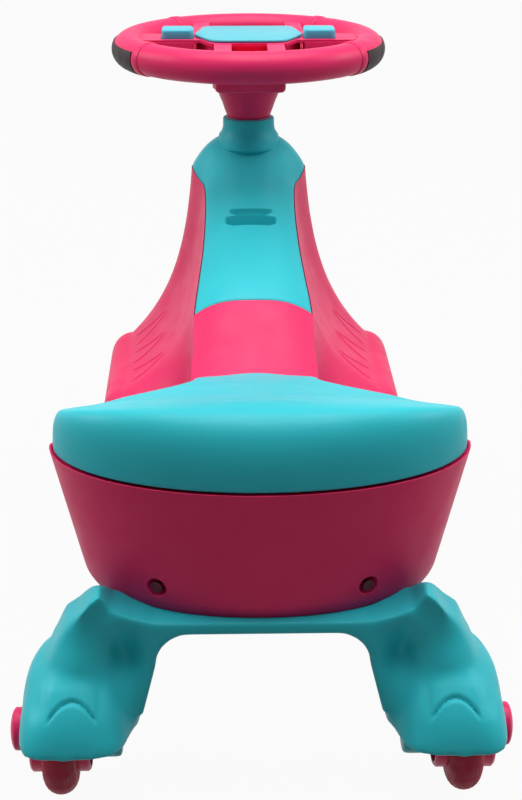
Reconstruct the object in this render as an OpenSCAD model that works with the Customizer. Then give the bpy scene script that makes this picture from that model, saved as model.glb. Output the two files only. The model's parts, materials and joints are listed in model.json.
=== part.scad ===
// Ride-on wiggle car: the steering wheel turns the front yoke, four wheels roll, two keys press.
// Frame: +Y forward, +X right, +Z up, origin on the floor under the middle of the outer box.

/* [Layout] */
// Distance from the rear axle to the steering column
column_y = 480; // [465:1:495]
// Distance between the centres of the rear tyres
rear_track = 264; // [258:1:272]
// Distance between the centres of the front tyres
front_track = 140; // [136:1:150]
// Distance of the front axle ahead of the column
front_lead = 45; // [38:1:50]
// Distance of the nose ahead of the column
nose_reach = 135; // [128:1:145]

/* [Wheels] */
// Radius of the tyres
wheel_r = 43; // [41:0.5:45]
// Width of the tyres
tyre_w = 22.5; // [20:0.5:25]
// Radius of the hub barrel
hub_r = 28; // [26:0.5:30]
// Width of the hub barrel
hub_w = 39; // [36:0.5:40]
// Radius of the axles
axle_r = 4; // [3:0.5:5]
// Outer radius of the sleeve in each hub
sleeve_r = 7; // [6:0.5:8]

/* [Body] */
// Wall of the body, seat and cover mouldings
wall = 3; // [2.5:0.1:3.5]
// Width of the tub at the seat seam
rim_w = 276; // [266:1:286]
// Distance of the widest place of the tub ahead of the rear axle
rim_y = 55; // [50:1:60]
// Distance from the widest place of the tub to its tail
rim_reach = 91; // [86:1:95]
// Height of the tub floor above the axles
floor_rise = 88; // [86:1:92]
// Height of the tub from floor to seat seam
tub_h = 91; // [86:1:96]
// Depth of the front floor below the tub floor
floor_drop = 23; // [20:1:25]
// Width of the waist between the knees
waist_w = 100; // [96:1:108]
// Width over the foot-rest wings
wing_w = 240; // [232:1:246]
// Height of the foot rests above the front floor
wing_h = 50; // [45:1:55]
// Rounding of the outer wing edge
wing_edge = 11; // [8:1:14]
// Width of the lip between seat and tub edge
rim_lip = 2.5; // [2:0.1:3]

/* [Seat] */
// Height of the seat crest above the seat seam
seat_h = 47; // [42:1:52]
// Distance of the seat tip ahead of the rear axle
seat_tip_y = 222; // [216:1:226]
// Width of the seat just behind its tip
seat_tip_w = 92; // [86:1:96]
// Fall of the seat from its middle line to its side
seat_fall = 8; // [6:1:12]

/* [Neck] */
// Distance of the cover seam behind the column
seam_reach = 195; // [190:1:200]
// Height of the cover seam above the seat seam
seam_rise = 28; // [24:1:32]
// Height of the shoulders above the seat seam
neck_rise = 116; // [110:1:122]
// Depth of the hump behind the seat tip below the seat seam
hump_dip = 14; // [12:1:16]
// Width of the cover at its seam
seam_w = 91; // [88:1:94]
// Width of the cover along the neck
neck_w = 76; // [72:1:80]
// Width over the shoulders
shoulder_w = 96; // [92:1:100]
// Fall of the cover from its middle to its edges
crown_fall = 12; // [9:1:14]
// Fall of the shoulders beside the column
shoulder_fall = 30; // [26:1:34]
// Outer radius of the column collar
collar_r = 21.5; // [20:0.5:23]
// Height of the column collar above the shoulders
collar_h = 14; // [12:1:16]
// Width of the recess on the cover
recess_w = 40; // [36:1:44]
// Length of each step of the recess
recess_step = 11; // [9:1:12]
// Depth of the recess
recess_h = 1.5; // [1:0.1:1.8]

/* [Cradle] */
// Thickness of the cross beam under the tub
beam_h = 8; // [7:0.5:10]
// Height of the beam lip around the tub
lip_h = 21; // [18:1:22]
// Distance from the tail of the tub to the beam's rear face
beam_inset = 9; // [6:1:10]
// Length of the cross beam along the car
beam_l = 87; // [80:1:92]
// Width between the two legs under the beam
leg_gap = 137; // [130:1:142]
// Length of the legs along the car
leg_l = 67; // [60:1:70]
// Radius between the beam and each leg
leg_r = 22; // [18:1:26]
// Rise of the leg feet towards the middle of the car
foot_rise = 11; // [8:1:12]
// Radius of the fenders about the rear axle
dome_r = 64; // [62:0.5:66]
// Width of the fenders across the car
dome_w = 64; // [60:1:66]
// Wall of the fenders
fender_wall = 3; // [2.6:0.1:3.4]
// Height of the fender edge above the rear axle
skirt_rise = 11; // [8:1:13]
// Radius of the shoulders above the fenders
shoulder_r = 38; // [36:1:42]
// Radius of the boss behind each hub cap
boss_r = 19; // [17:0.5:20]
// Radius of the hub caps
cap_r = 14.2; // [13:0.1:15]
// Height of the hub caps
cap_h = 8; // [7:0.5:9]

/* [Steering wheel] */
// Height of the wheel's middle plane above the shoulders
wheel_rise = 72; // [68:1:76]
// Radius of the rim's middle line
rim_r = 99.5; // [96:0.5:104]
// Radius of the rim's round section
tube_r = 13; // [12:0.1:13.5]
// Wall of the wheel halves
shell = 2.5; // [2.2:0.1:2.8]
// Thickness of the rubber grips
grip_t = 1; // [0.8:0.1:1.4]
// Length of the middle panel along the car
panel_l = 70; // [66:1:74]
// Width of the middle panel
panel_w = 86; // [82:1:90]
// Width of each key
key_w = 26; // [24:0.5:27]
// Length of each key along the car
key_l = 24; // [20:0.5:26]
// Height of a key above the top plate
key_h = 7.5; // [6:0.5:8]
// Travel of a key
key_travel = 2; // [1.5:0.1:2.5]
// Width of the short spokes
spoke_w = 14; // [12:1:16]
// Radius of the wide collar under the wheel
hub_collar_r = 30; // [29:0.5:32]
// Radius of the cone at its wide end
cone_r = 27; // [25:0.5:28]
// Radius of the cone at its narrow end
cone_tip_r = 18; // [16.5:0.5:19]
// Radius of the steering shaft
shaft_r = 8; // [7:0.5:9]

/* [Yoke] */
// Radius of the yoke boss about the shaft
yoke_r = 18; // [16.5:0.5:20]
// Radius of the yoke's axle tube
yoke_tube_r = 10; // [9:0.5:11]

/* [Fits] */
// Gap between neighbouring mouldings
fit_gap = 0.4; // [0.35:0.05:0.5]
// Gap between a shaft and the bore that it turns in
run_gap = 0.05; // [0.03:0.01:0.08]
// Gap between pieces that are pushed together
seat_gap = 0.05; // [0.03:0.01:0.1]
// Side play of a wheel and the room for its washer
side_gap = 1.4; // [1.3:0.1:1.8]

/* [Hidden] */
$fn = 96;
// Length by which cuts run past the faces that they open
overrun = 1;
// Small step that keeps two stations of a loft apart
step = 0.3;

// Screws: thread and head radius, head height
screw_r = 2;
screw_head_r = 4;
screw_head_h = 3;
post_r = 6;
pilot_gap = 0.05;
washer_r = 9;
washer_t = 0.8;
nut_r = 7;
nut_h = 4;
bolt_r = 2.5;
bush_head_h = 1.8;

wheel_x = rear_track/2;
front_x = front_track/2;
front_y = column_y + front_lead;
nose_y = column_y + nose_reach;

tub_floor_z = wheel_r + floor_rise;
front_floor_z = tub_floor_z - floor_drop;
seam_floor_z = tub_floor_z + tub_h;
wing_z = front_floor_z + wing_h;
shoulder_z = seam_floor_z + neck_rise;
collar_z = shoulder_z + collar_h;
wheel_z = shoulder_z + wheel_rise;

seam_y = column_y - seam_reach;
cover_end_share = 0.35;
cover_end_y = column_y + nose_reach*cover_end_share;
deck_sink = 2;
deck_camber = 1.4;
deck_z = seam_floor_z - deck_sink;
deck_top_z = deck_z + deck_camber + fit_gap;
hump_z = seam_floor_z - hump_dip;
seam_z = seam_floor_z + seam_rise;
nose_rise = 20;
nose_z = front_floor_z + nose_rise;
nose_start_y = column_y - wing_edge;
nose_l = nose_y - nose_start_y;
// The nose ends in a narrow flat face, at this share of its length
tip_end_share = 0.997;
// All places are measured from the rear axle and moved at the end by this much
tail_reach = sqrt(pow(dome_r, 2) - pow(skirt_rise, 2));
middle_y = (nose_start_y + nose_l*tip_end_share - tail_reach)/2;

function mix(a, b, t) = a + (b - a)*t;
function smooth(t) = let (c = min(1, max(0, t))) c*c*(3 - 2*c);

// Smooth curve through rows of [place, value], held level past both ends
function row_of(rows, y, i = 0) =
    i >= len(rows) - 2 || y < rows[i + 1][0] ? i : row_of(rows, y, i + 1);
function slope(rows, i) =
    i <= 0 || i >= len(rows) - 1
        ? 0
        : (rows[i + 1][1] - rows[i - 1][1])/(rows[i + 1][0] - rows[i - 1][0]);
function curve(rows, y) =
    let (
        i = row_of(rows, y),
        span = rows[i + 1][0] - rows[i][0],
        u = min(1, max(0, (y - rows[i][0])/span)),
        a = slope(rows, i)*span,
        b = slope(rows, i + 1)*span,
        d = rows[i + 1][1] - rows[i][1]
    )
    rows[i][1] + u*(a + u*(3*d - 2*a - b + u*(a + b - 2*d)));

// Plan of the body: half width at each place, from the widest place of the tub to the nose
waist_share = 0.9;
waist_y = mix(rim_y, seam_y, waist_share);
wing_share = 0.3;
wing_y = mix(seam_y, column_y, wing_share);
waist_power_share = 0.65;
nose_power = 2.3;

function plan_half(y) =
    y < waist_y
        ? mix(rim_w/2, waist_w/2, smooth(pow(max(0, y - rim_y)/(waist_y - rim_y), waist_power_share)))
        : y < nose_start_y
            ? mix(waist_w/2, wing_w/2, smooth((y - waist_y)/(wing_y - waist_y)))
            : wing_w/2*nose_taper((y - nose_start_y)/nose_l);
function nose_taper(u) = pow(1 - pow(u, nose_power), 1/nose_power);

// Side view of the body along its middle
neck_shares = [[0, 0], [0.23, 0.2], [0.46, 0.4], [0.69, 0.62], [0.87, 0.83], [0.95, 0.96], [1, 1]];
nose_shares = [
    [0.15, 0.985], [0.3, 0.93], [0.42, 0.83], [0.5, 0.72], [0.6, 0.56],
    [0.7, 0.42], [0.8, 0.3], [0.9, 0.18], [1, 0]
];
deck_end_share = 0.2;
deck_end_y = mix(rim_y, seam_y, deck_end_share);
hump_y = seat_tip_y - wing_edge;
spine_rows = concat(
    [[rim_y, deck_z], [deck_end_y, deck_z], [hump_y, hump_z]],
    [for (p = neck_shares) [mix(seam_y, column_y, p[0]), mix(seam_z, shoulder_z, p[1])]],
    [for (p = nose_shares) [mix(column_y, nose_y, p[0]), mix(nose_z, shoulder_z, p[1])]]
);

// Half width of the rounded back of the neck, as shares of the seam, neck and shoulder widths
neck_start_share = 0.46;
neck_end_share = 0.8;
front_shoulder_share = 0.92;
nose_spine_share = 0.4;
spine_half_rows = [
    [deck_end_y, waist_w/2],
    [hump_y, (waist_w + seam_w)/4],
    [seam_y, seam_w/2],
    [mix(seam_y, column_y, neck_start_share), neck_w/2],
    [mix(seam_y, column_y, neck_end_share), neck_w/2],
    [column_y, shoulder_w/2],
    [cover_end_y, shoulder_w/2*front_shoulder_share],
    [nose_y, shoulder_w/2*nose_spine_share]
];
hump_fall_share = 0.65;
neck_fall_share = 0.75;
cover_fall_share = 0.77;
nose_fall_share = 0.13;
fall_rows = [
    [deck_end_y, 0],
    [hump_y, crown_fall*hump_fall_share],
    [seam_y, crown_fall],
    [mix(seam_y, column_y, neck_fall_share), crown_fall],
    [column_y, shoulder_fall],
    [cover_end_y, shoulder_fall*cover_fall_share],
    [nose_y, shoulder_fall*nose_fall_share]
];
spine_limit_share = 0.92;
// Power of the curve across the back of the neck
crown_power = 3;

function spine_z(y) = curve(spine_rows, y);
function spine_half(y) = min(curve(spine_half_rows, y), plan_half(y)*spine_limit_share);
function spine_fall(y) = curve(fall_rows, y);
function wing_top(y) = mix(wing_z, nose_z - wing_edge, smooth((y - column_y)/nose_reach));
function floor_z(y) = mix(tub_floor_z, front_floor_z, smooth((y - deck_end_y)/(seam_y - deck_end_y)));
// How far a place has left the tub for the neck: 0 under the seat, 1 along the neck
function neckness(y) = smooth((y - deck_end_y)/(hump_y - deck_end_y));
// The cover lies in a step of the body
sunk_h = wall + fit_gap;
function sunk(y) = y > seam_y && y < cover_end_y ? sunk_h : 0;

// Flare of the neck sides: 0 at the back of the neck, 1 at the wing edge
flare_power = 1.7;
function flare(t) = (exp(-flare_power*(1 - t)) - exp(-flare_power))/(1 - exp(-flare_power));

// Half sections, listed from the lower edge to the middle: one for the tub, one for the neck
side_shares = [[0.809, 0], [0.849, 0.1], [0.92, 0.5], [1, 1]];
edge_share = 0.3;
edge_limit_share = 0.8;
flank_n = 7;
crown_n = 5;
half_n = 3 + flank_n + crown_n + 1;
deck_n = half_n - len(side_shares);

function tub_half(y, w, inset) =
    concat(
        [for (p = side_shares) [w*p[0], mix(floor_z(y), seam_floor_z - inset, p[1])]],
        [
            for (k = [0:deck_n - 1])
                let (u = 1 - k/(deck_n - 1))
                [(w - rim_lip)*u, deck_z - inset + deck_camber*(1 - u*u)]
        ]
    );
function neck_half(y, w, inset) =
    let (
        half = spine_half(y) - inset,
        fall = spine_fall(y),
        top = spine_z(y) - inset,
        wing = wing_top(y) - inset,
        edge = min(wing_edge, (w - half)/2, (wing - floor_z(y))*edge_limit_share)
    )
    concat(
        [[w, floor_z(y)], [w, wing - edge], [w - edge*edge_share, wing - edge*edge_share]],
        [
            for (k = [0:flank_n - 1])
                let (t = 1 - k/(flank_n - 1))
                [mix(half, w - edge, flare(t)), mix(top - fall, wing, t)]
        ],
        [
            for (k = [0:crown_n])
                let (x = (half - step)*(1 - k/crown_n))
                [x, top - sunk(y) - fall*pow(x/half, crown_power)]
        ]
    );
function body_half(y, w, inset) =
    let (a = tub_half(y, w, inset), b = neck_half(y, w, inset), t = neckness(y))
    [for (k = [0:half_n - 1]) mix(a[k], b[k], t)];

// Stations from tail to nose: [place of the section, half width, place on the outside]
tail_angles = [81, 73, 64, 54, 44, 33, 22, 11, 0];
mid_shares = [0.12, 0.23, 0.33, 0.42, 0.5, 0.58, 0.66, 0.74, 0.82, 0.9, 0.96];
front_shares = [0.06, 0.12, 0.18, 0.24, 0.3, 0.4, 0.5, 0.6, 0.7, 0.78, 0.85, 0.91, 0.96, 1];
tip_shares = [0.48, 0.56, 0.64, 0.72, 0.79, 0.85, 0.9, 0.94, 0.97, tip_end_share];
run_places = concat(
    [for (p = mid_shares) mix(rim_y, seam_y, p)],
    [seam_y - step, seam_y + step],
    [for (p = front_shares) mix(seam_y, column_y, p)],
    [mix(column_y, cover_end_y, 1/2), cover_end_y - step, cover_end_y + step]
);

function stations(inset) =
    concat(
        [
            for (a = tail_angles)
                [rim_y - (rim_reach - inset)*sin(a), (rim_w/2 - inset)*cos(a), rim_y - rim_reach*sin(a)]
        ],
        [for (y = run_places) [y, plan_half(y) - inset, y]],
        [
            for (u = tip_shares)
                [nose_start_y + (nose_l - inset)*u, (wing_w/2 - inset)*nose_taper(u), nose_start_y + nose_l*u]
        ]
    );
// Sides of the tub lean inwards at the tail as they do at the flanks
function lean(y, k) =
    y < rim_y && k < len(side_shares) ? rim_y - (rim_y - y)*side_shares[k][0] : y;
function body_row(s, inset) =
    let (half = body_half(s[2], s[1], inset))
    concat(
        [for (k = [0:half_n - 1]) [-half[k][0], lean(s[0], k), half[k][1]]],
        [for (k = [half_n - 2:-1:0]) [half[k][0], lean(s[0], k), half[k][1]]]
    );

// Closed solids from grids of points, as triangles
function quad(a, b, c, d) = [[a, b, c], [a, c, d]];
function grid_faces(n, m, from, flip, hole = []) =
    [
        for (i = [0:n - 2], j = [0:m - 2])
            if (!in_hole(hole, i, j))
                let (a = from + i*m + j, b = a + m)
                each flip ? quad(a, a + 1, b + 1, b) : quad(a, b, b + 1, a + 1)
    ];
// A hole is a block of cells: first and last row, first and last column
function in_hole(hole, i, j) =
    len(hole) > 0 && i >= hole[0] && i < hole[1] && j >= hole[2] && j < hole[3];
function hole_faces(hole, m, k) =
    concat(
        [
            for (i = [hole[0]:hole[1] - 1])
                let (a = i*m + hole[2], b = a + m, c = i*m + hole[3], d = c + m)
                each concat(quad(a, b, k + b, k + a), quad(d, c, k + c, k + d))
        ],
        [
            for (j = [hole[2]:hole[3] - 1])
                let (a = hole[0]*m + j, b = hole[1]*m + j)
                each concat(quad(a + 1, a, k + a, k + a + 1), quad(b, b + 1, k + b + 1, k + b))
        ]
    );
// Wall over one end row, from its left half to its right half
function end_faces(m, from, flip) =
    let (c = (m - 1)/2)
    concat(
        [
            for (j = [0:c - 2])
                let (a = from + j, b = from + m - 1 - j)
                each flip ? quad(a, b, b - 1, a + 1) : quad(a, a + 1, b - 1, b)
        ],
        [flip ? [from + c - 1, from + c + 1, from + c] : [from + c - 1, from + c, from + c + 1]]
    );
function side_faces(n, m, k) =
    [
        for (i = [0:n - 2])
            let (a = i*m, b = a + m, c = a + m - 1, d = c + m)
            each concat(quad(a, k + a, k + b, b), quad(c, d, k + d, k + c))
    ];
// Open shell with closed ends, like an upturned bowl, with one hole
module bowl(outer, inner, hole) {
    n = len(outer);
    m = len(outer[0]);
    k = n*m;
    last = (n - 1)*m;
    polyhedron(
        points = concat([for (r = outer) each r], [for (r = inner) each r]),
        faces = concat(
            grid_faces(n, m, 0, false, hole),
            grid_faces(n, m, k, true, hole),
            hole_faces(hole, m, k),
            end_faces(m, 0, false),
            end_faces(m, last, true),
            end_faces(m, k, true),
            end_faces(m, k + last, false),
            side_faces(n, m, k),
            quad(0, m - 1, k + m - 1, k),
            quad(k + last, k + last + m - 1, last + m - 1, last)
        )
    );
}
// Curved plate between two grids
module plate(outer, inner) {
    n = len(outer);
    m = len(outer[0]);
    k = n*m;
    last = (n - 1)*m;
    polyhedron(
        points = concat([for (r = outer) each r], [for (r = inner) each r]),
        faces = concat(
            grid_faces(n, m, 0, false),
            grid_faces(n, m, k, true),
            side_faces(n, m, k),
            [for (j = [0:m - 2]) each quad(j, j + 1, k + j + 1, k + j)],
            [for (j = [last:last + m - 2]) each quad(j + 1, j, k + j, k + j + 1)]
        )
    );
}
// Solid from closed rings, each of right-hand points from tail to nose and left-hand ones back
module stack(rings) {
    n = len(rings);
    m = len(rings[0]);
    top = (n - 1)*m;
    polyhedron(
        points = [for (r = rings) each r],
        faces = concat(
            [
                for (i = [0:n - 2], j = [0:m - 1])
                    let (a = i*m + j, b = i*m + (j + 1)%m)
                    each quad(a, a + m, b + m, b)
            ],
            [for (j = [0:m/2 - 2]) each quad(j, j + 1, m - 2 - j, m - 1 - j)],
            [for (j = [0:m/2 - 2]) each quad(top + j, top + m - 1 - j, top + m - 2 - j, top + j + 1)]
        )
    );
}
// Shell from rings that close in a point, open below
module dish(outer, inner, tip, inner_tip) {
    n = len(outer);
    m = len(outer[0]);
    k = n*m;
    top = (n - 1)*m;
    polyhedron(
        points = concat([for (r = outer) each r], [for (r = inner) each r], [tip, inner_tip]),
        faces = concat(
            [
                for (i = [0:n - 2], j = [0:m - 1])
                    let (a = i*m + j, b = i*m + (j + 1)%m)
                    each concat(quad(a, a + m, b + m, b), quad(k + a, k + b, k + b + m, k + a + m))
            ],
            [for (j = [0:m - 1]) let (b = (j + 1)%m) each quad(j, b, k + b, k + j)],
            [
                for (j = [0:m - 1])
                    let (b = (j + 1)%m)
                    each [[top + j, 2*k, top + b], [k + top + j, k + top + b, 2*k + 1]]
            ]
        )
    );
}

module tube(outer, inner, h) {
    difference() {
        cylinder(r = outer, h = h);
        translate([0, 0, -overrun]) cylinder(r = inner, h = h + 2*overrun);
    }
}
// Turns a shape that stands on Z so that it points along +X
module along_x() {
    rotate([0, 90, 0]) children();
}
module mirrored() {
    children();
    mirror([1, 0, 0]) children();
}
module placed() {
    translate([0, -middle_y, 0]) children();
}

// Body
pan_inset = wall + fit_gap;
post_h = 21;
rear_bolt_y = wheel_r;
rear_bolt_share = 0.33;
rear_bolt_x = leg_gap*rear_bolt_share;
back_bolt_share = 0.6;
back_bolt_y = rim_y - rim_reach*back_bolt_share;
rear_bolts = [for (sx = [-1, 1], y = [back_bolt_y, rear_bolt_y]) [sx*rear_bolt_x, y]];
seat_posts = [for (sx = [-1, 1], k = [1, 4]) [sx*rear_bolt_x, k*rear_bolt_y/2]];
tube_r_out = shaft_r + 2*wall;
// The column tube passes through a hole in the crown, between these rows and columns of points
hole_rows = 4;
hole_side = 3;
hole_first = len(tail_angles) + len(mid_shares) + 2 + len(front_shares) - hole_rows;
hole_last = hole_first + hole_rows;
column_hole = [hole_first, hole_last, half_n - 1 - hole_side, half_n - 1 + hole_side];

// Screws through the back of the tub: place round the tail and height above the tub floor
tub_screw_angle = 55.5;
tub_screw_rise = 18;
tub_boss_l = 6;
tub_screw_in = lookup(tub_screw_rise/tub_h, [for (p = side_shares) [p[1], p[0]]]);
tub_screw_x = rim_w/2*cos(tub_screw_angle)*tub_screw_in;
tub_screw_y = rim_y - rim_reach*sin(tub_screw_angle)*tub_screw_in;
tub_screw_turn = atan2(rim_reach*cos(tub_screw_angle), rim_w/2*sin(tub_screw_angle));
tub_wall_reach =
    rim_w/2*cos(tub_screw_angle)*sin(tub_screw_turn) + rim_reach*sin(tub_screw_angle)*cos(tub_screw_turn);
tub_wall_lean = atan2(
    tub_wall_reach*(side_shares[2][0] - side_shares[1][0]),
    tub_h*(side_shares[2][1] - side_shares[1][1])
);
tub_boss_end = wall + tub_boss_l;
// Shape at each of these screws, standing on the outside with +Z pointing into the tub
module at_tub_screws() {
    mirrored()
        translate([tub_screw_x, tub_screw_y, tub_floor_z + tub_screw_rise])
            rotate([tub_wall_lean - 90, 0, tub_screw_turn])
                children();
}

module body_shell() {
    color("#f03773")
        placed()
            difference() {
                union() {
                    bowl(
                        [for (s = stations(0)) body_row(s, 0)],
                        [for (s = stations(wall)) body_row(s, wall)],
                        column_hole
                    );
                    at_tub_screws()
                        translate([0, 0, wall/2 - step])
                            cylinder(r = post_r, h = tub_boss_end - wall/2 + step);
                }
                at_tub_screws()
                    translate([0, 0, -2*wall]) {
                        cylinder(r = screw_r + fit_gap, h = 4*wall + tub_boss_l);
                        cylinder(r = screw_head_r + fit_gap, h = 2*wall + wall/2);
                    }
            }
}

function pan_ring(z) =
    let (
        rows = stations(pan_inset),
        right = [
            for (s = rows)
                let (half = body_half(s[2], s[1], pan_inset))
                [half[0][0], lean(s[0], 0), floor_z(s[2]) + z]
        ]
    )
    concat(right, [for (i = [len(right) - 1:-1:0]) [-right[i][0], right[i][1], right[i][2]]]);

bush_r = shaft_r + 2*wall;
flange_r = bush_r + 4*wall;
bush_bolts = [for (k = [0:2]) (bush_r + 2*wall)*[cos(120*k + 90), sin(120*k + 90)]];
module underbody_pan() {
    color("#d42c62")
        placed()
            difference() {
                union() {
                    stack([pan_ring(0), pan_ring(wall)]);
                    for (p = rear_bolts)
                        translate([p[0], p[1], tub_floor_z + wall/2])
                            cylinder(r = post_r, h = post_h);
                    translate([0, column_y, front_floor_z + wall/2])
                        cylinder(r = flange_r, h = 2*wall);
                    at_tub_screws()
                        translate([0, 0, tub_boss_end + fit_gap]) {
                            cylinder(r = post_r, h = 4*wall);
                            translate([-post_r, 0, 0])
                                cube([2*post_r, tub_screw_rise - step, 4*wall]);
                        }
                }
                translate([0, column_y, front_floor_z - overrun])
                    cylinder(r = bush_r + seat_gap, h = 4*wall);
                for (p = rear_bolts)
                    translate([p[0], p[1], tub_floor_z - overrun])
                        cylinder(r = screw_r + pilot_gap, h = post_h);
                for (p = bush_bolts)
                    translate([p[0], column_y + p[1], front_floor_z - overrun])
                        cylinder(r = screw_r + pilot_gap, h = 3*wall);
                at_tub_screws()
                    cylinder(r = screw_r + pilot_gap, h = tub_boss_end + 3*wall);
            }
}

// Seat: rings about a middle point, lowered along the edge
seat_mid_share = 0.47;
seat_mid_y = mix(rim_y - rim_reach, seat_tip_y, seat_mid_share);
seat_rows = [
    for (p = [
        [0, 0.78], [0.02, 0.88], [0.045, 0.95], [0.08, 0.99], [0.11, 1], [0.16, 0.968], [0.21, 0.905],
        [0.26, 0.825], [0.31, 0.745], [0.4, 0.585], [0.5, 0.41], [0.6, 0.285], [0.7, 0.175], [0.8, 0.065],
        [0.9, -0.065], [1, -0.19]
    ])
        [mix(rim_y - rim_reach, seat_tip_y, p[0]), seam_floor_z + seat_h*p[1]]
];
seat_ring_shares = [[1, 0], [0.996, 0.5], [0.986, 0.78], [0.968, 0.93], [0.94, 1]];
seat_top_shares = [0.87, 0.77, 0.64, 0.5, 0.35, 0.2];
seat_run_shares = [0.14, 0.28, 0.42, 0.56, 0.7, 0.84];
seat_tip_angles = [0, 22, 44, 64, 80];
seat_tail_angles = [80, 68, 56, 44, 33, 22, 11, 0];
seat_tip_share = 0.3;
seat_tip_l = seat_tip_w*seat_tip_share;
seat_run_end = seat_tip_y - seat_tip_l;

function seat_half(y) =
    min(
        plan_half(y) - rim_lip,
        mix(rim_w/2 - rim_lip, seat_tip_w/2, smooth((y - rim_y)/(seat_run_end - rim_y)))
    );
seat_side = concat(
    [for (a = seat_tail_angles) [(rim_w/2 - rim_lip)*cos(a), rim_y - (rim_reach - rim_lip)*sin(a)]],
    [for (p = seat_run_shares) let (y = mix(rim_y, seat_run_end, p)) [seat_half(y), y]],
    [for (a = seat_tip_angles) [seat_tip_w/2*cos(a), seat_run_end + seat_tip_l*sin(a)]]
);
seat_plan = concat(seat_side, [for (i = [len(seat_side) - 1:-1:0]) [-seat_side[i][0], seat_side[i][1]]]);

function seat_z(x, y) = curve(seat_rows, y) - seat_fall*pow(x/(rim_w/2), 2);
// Height of the seat edge over the body's top
seat_lift = 1.4;
function deck_under(x, y) =
    mix(
        seam_floor_z,
        spine_z(y) - spine_fall(y)*pow(abs(x)/spine_half(y), crown_power),
        neckness(y)
    ) + seat_lift;
function seat_point(p, share, h, inset) =
    let (
        q = [p[0]*share, mix(seat_mid_y, p[1], share)],
        low = deck_under(p[0], p[1]),
        top = seat_z(q[0], q[1]) - inset
    )
    [q[0], q[1], mix(low, max(top, low), h)];
seat_inset_share = 0.03;
// The rounded edge grows wider towards the tail
seat_tail_share = 3;
seat_edge_share = seat_ring_shares[len(seat_ring_shares) - 1][0];
function seat_share(p, share) =
    let (wide = 1 + seat_tail_share*pow(max(0, (rim_y - p[1])/rim_reach), 2))
    share < seat_edge_share
        ? share*(1 - (1 - seat_edge_share)*wide)/seat_edge_share
        : 1 - (1 - share)*wide;
function seat_rings(inset, less) =
    concat(
        [
            for (r = seat_ring_shares)
                [for (p = seat_plan) seat_point(p, seat_share(p, r[0]) - less, r[1], inset)]
        ],
        [for (r = seat_top_shares) [for (p = seat_plan) seat_point(p, seat_share(p, r) - less, 1, inset)]]
    );

module seat() {
    color("#41c3cd")
        placed()
            union() {
                dish(
                    seat_rings(0, 0),
                    seat_rings(wall, seat_inset_share),
                    [0, seat_mid_y, seat_z(0, seat_mid_y)],
                    [0, seat_mid_y, seat_z(0, seat_mid_y) - wall]
                );
                for (p = seat_posts)
                    translate([p[0], p[1], deck_top_z])
                        cylinder(r = post_r, h = seat_z(p[0], p[1]) - deck_top_z - wall/2);
            }
}

// Neck cover with its collar
cover_n = 12;
cover_places = concat(
    [seam_y + fit_gap + step],
    [for (p = front_shares) mix(seam_y, column_y, p)],
    [mix(column_y, cover_end_y, 1/2), cover_end_y - fit_gap - step]
);
function cover_row(y, inset) =
    [
        for (j = [0:cover_n])
            let (x = (spine_half(y) - fit_gap - step)*(2*j/cover_n - 1))
            [x, y, spine_z(y) - spine_fall(y)*pow(abs(x)/spine_half(y), crown_power) - inset]
    ];
upper_bush_r = collar_r - wall - seat_gap;
collar_root = 19;
recess_place_share = 0.52;
recess_y = mix(seam_y, column_y, recess_place_share);
recess_tilt = atan2(spine_z(recess_y + recess_step) - spine_z(recess_y - recess_step), 2*recess_step);

module neck_cover() {
    color("#41c3cd")
        placed()
            difference() {
                union() {
                    plate(
                        [for (y = cover_places) cover_row(y, 0)],
                        [for (y = cover_places) cover_row(y, wall)]
                    );
                    translate([0, column_y, shoulder_z - collar_root])
                        cylinder(r = collar_r, h = collar_root + collar_h);
                }
                translate([0, column_y, shoulder_z - collar_root - overrun])
                    cylinder(r = upper_bush_r + seat_gap, h = collar_root + collar_h + 2*overrun);
                translate([0, recess_y, spine_z(recess_y)])
                    rotate([recess_tilt, 0, 0]) {
                        translate([-recess_w/2, -recess_step - step, -recess_h])
                            cube([recess_w, recess_step, 4*recess_h]);
                        translate([-recess_w/2 + wall, step, -recess_h/2])
                            cube([recess_w - 2*wall, recess_step - wall, 4*recess_h]);
                    }
            }
}

// Column: bushes at both ends and a tube between them
lower_flange_z = front_floor_z - wall;
bush_top_z = front_floor_z + 3*wall;
upper_bush_h = collar_h + wall;
upper_bush_z = collar_z - upper_bush_h;
module upper_bush() {
    color("#e8e8e4")
        placed()
            translate([0, column_y, upper_bush_z])
                tube(upper_bush_r, shaft_r + run_gap, upper_bush_h);
}
module lower_bush() {
    color("#e8e8e4")
        placed()
            translate([0, column_y, 0])
                difference() {
                    union() {
                        translate([0, 0, lower_flange_z])
                            cylinder(r = flange_r, h = wall - seat_gap);
                        translate([0, 0, lower_flange_z])
                            cylinder(r = bush_r, h = bush_top_z - lower_flange_z);
                    }
                    translate([0, 0, lower_flange_z - overrun])
                        cylinder(r = shaft_r + run_gap, h = bush_top_z);
                    for (p = bush_bolts)
                        translate([p[0], p[1], lower_flange_z - overrun])
                            cylinder(r = screw_r + seat_gap, h = 2*wall);
                }
}
module column_tube() {
    color("#8a8d92")
        placed()
            translate([0, column_y, bush_top_z + seat_gap])
                tube(tube_r_out, shaft_r + wall, upper_bush_z - bush_top_z - 2*seat_gap);
}

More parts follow.
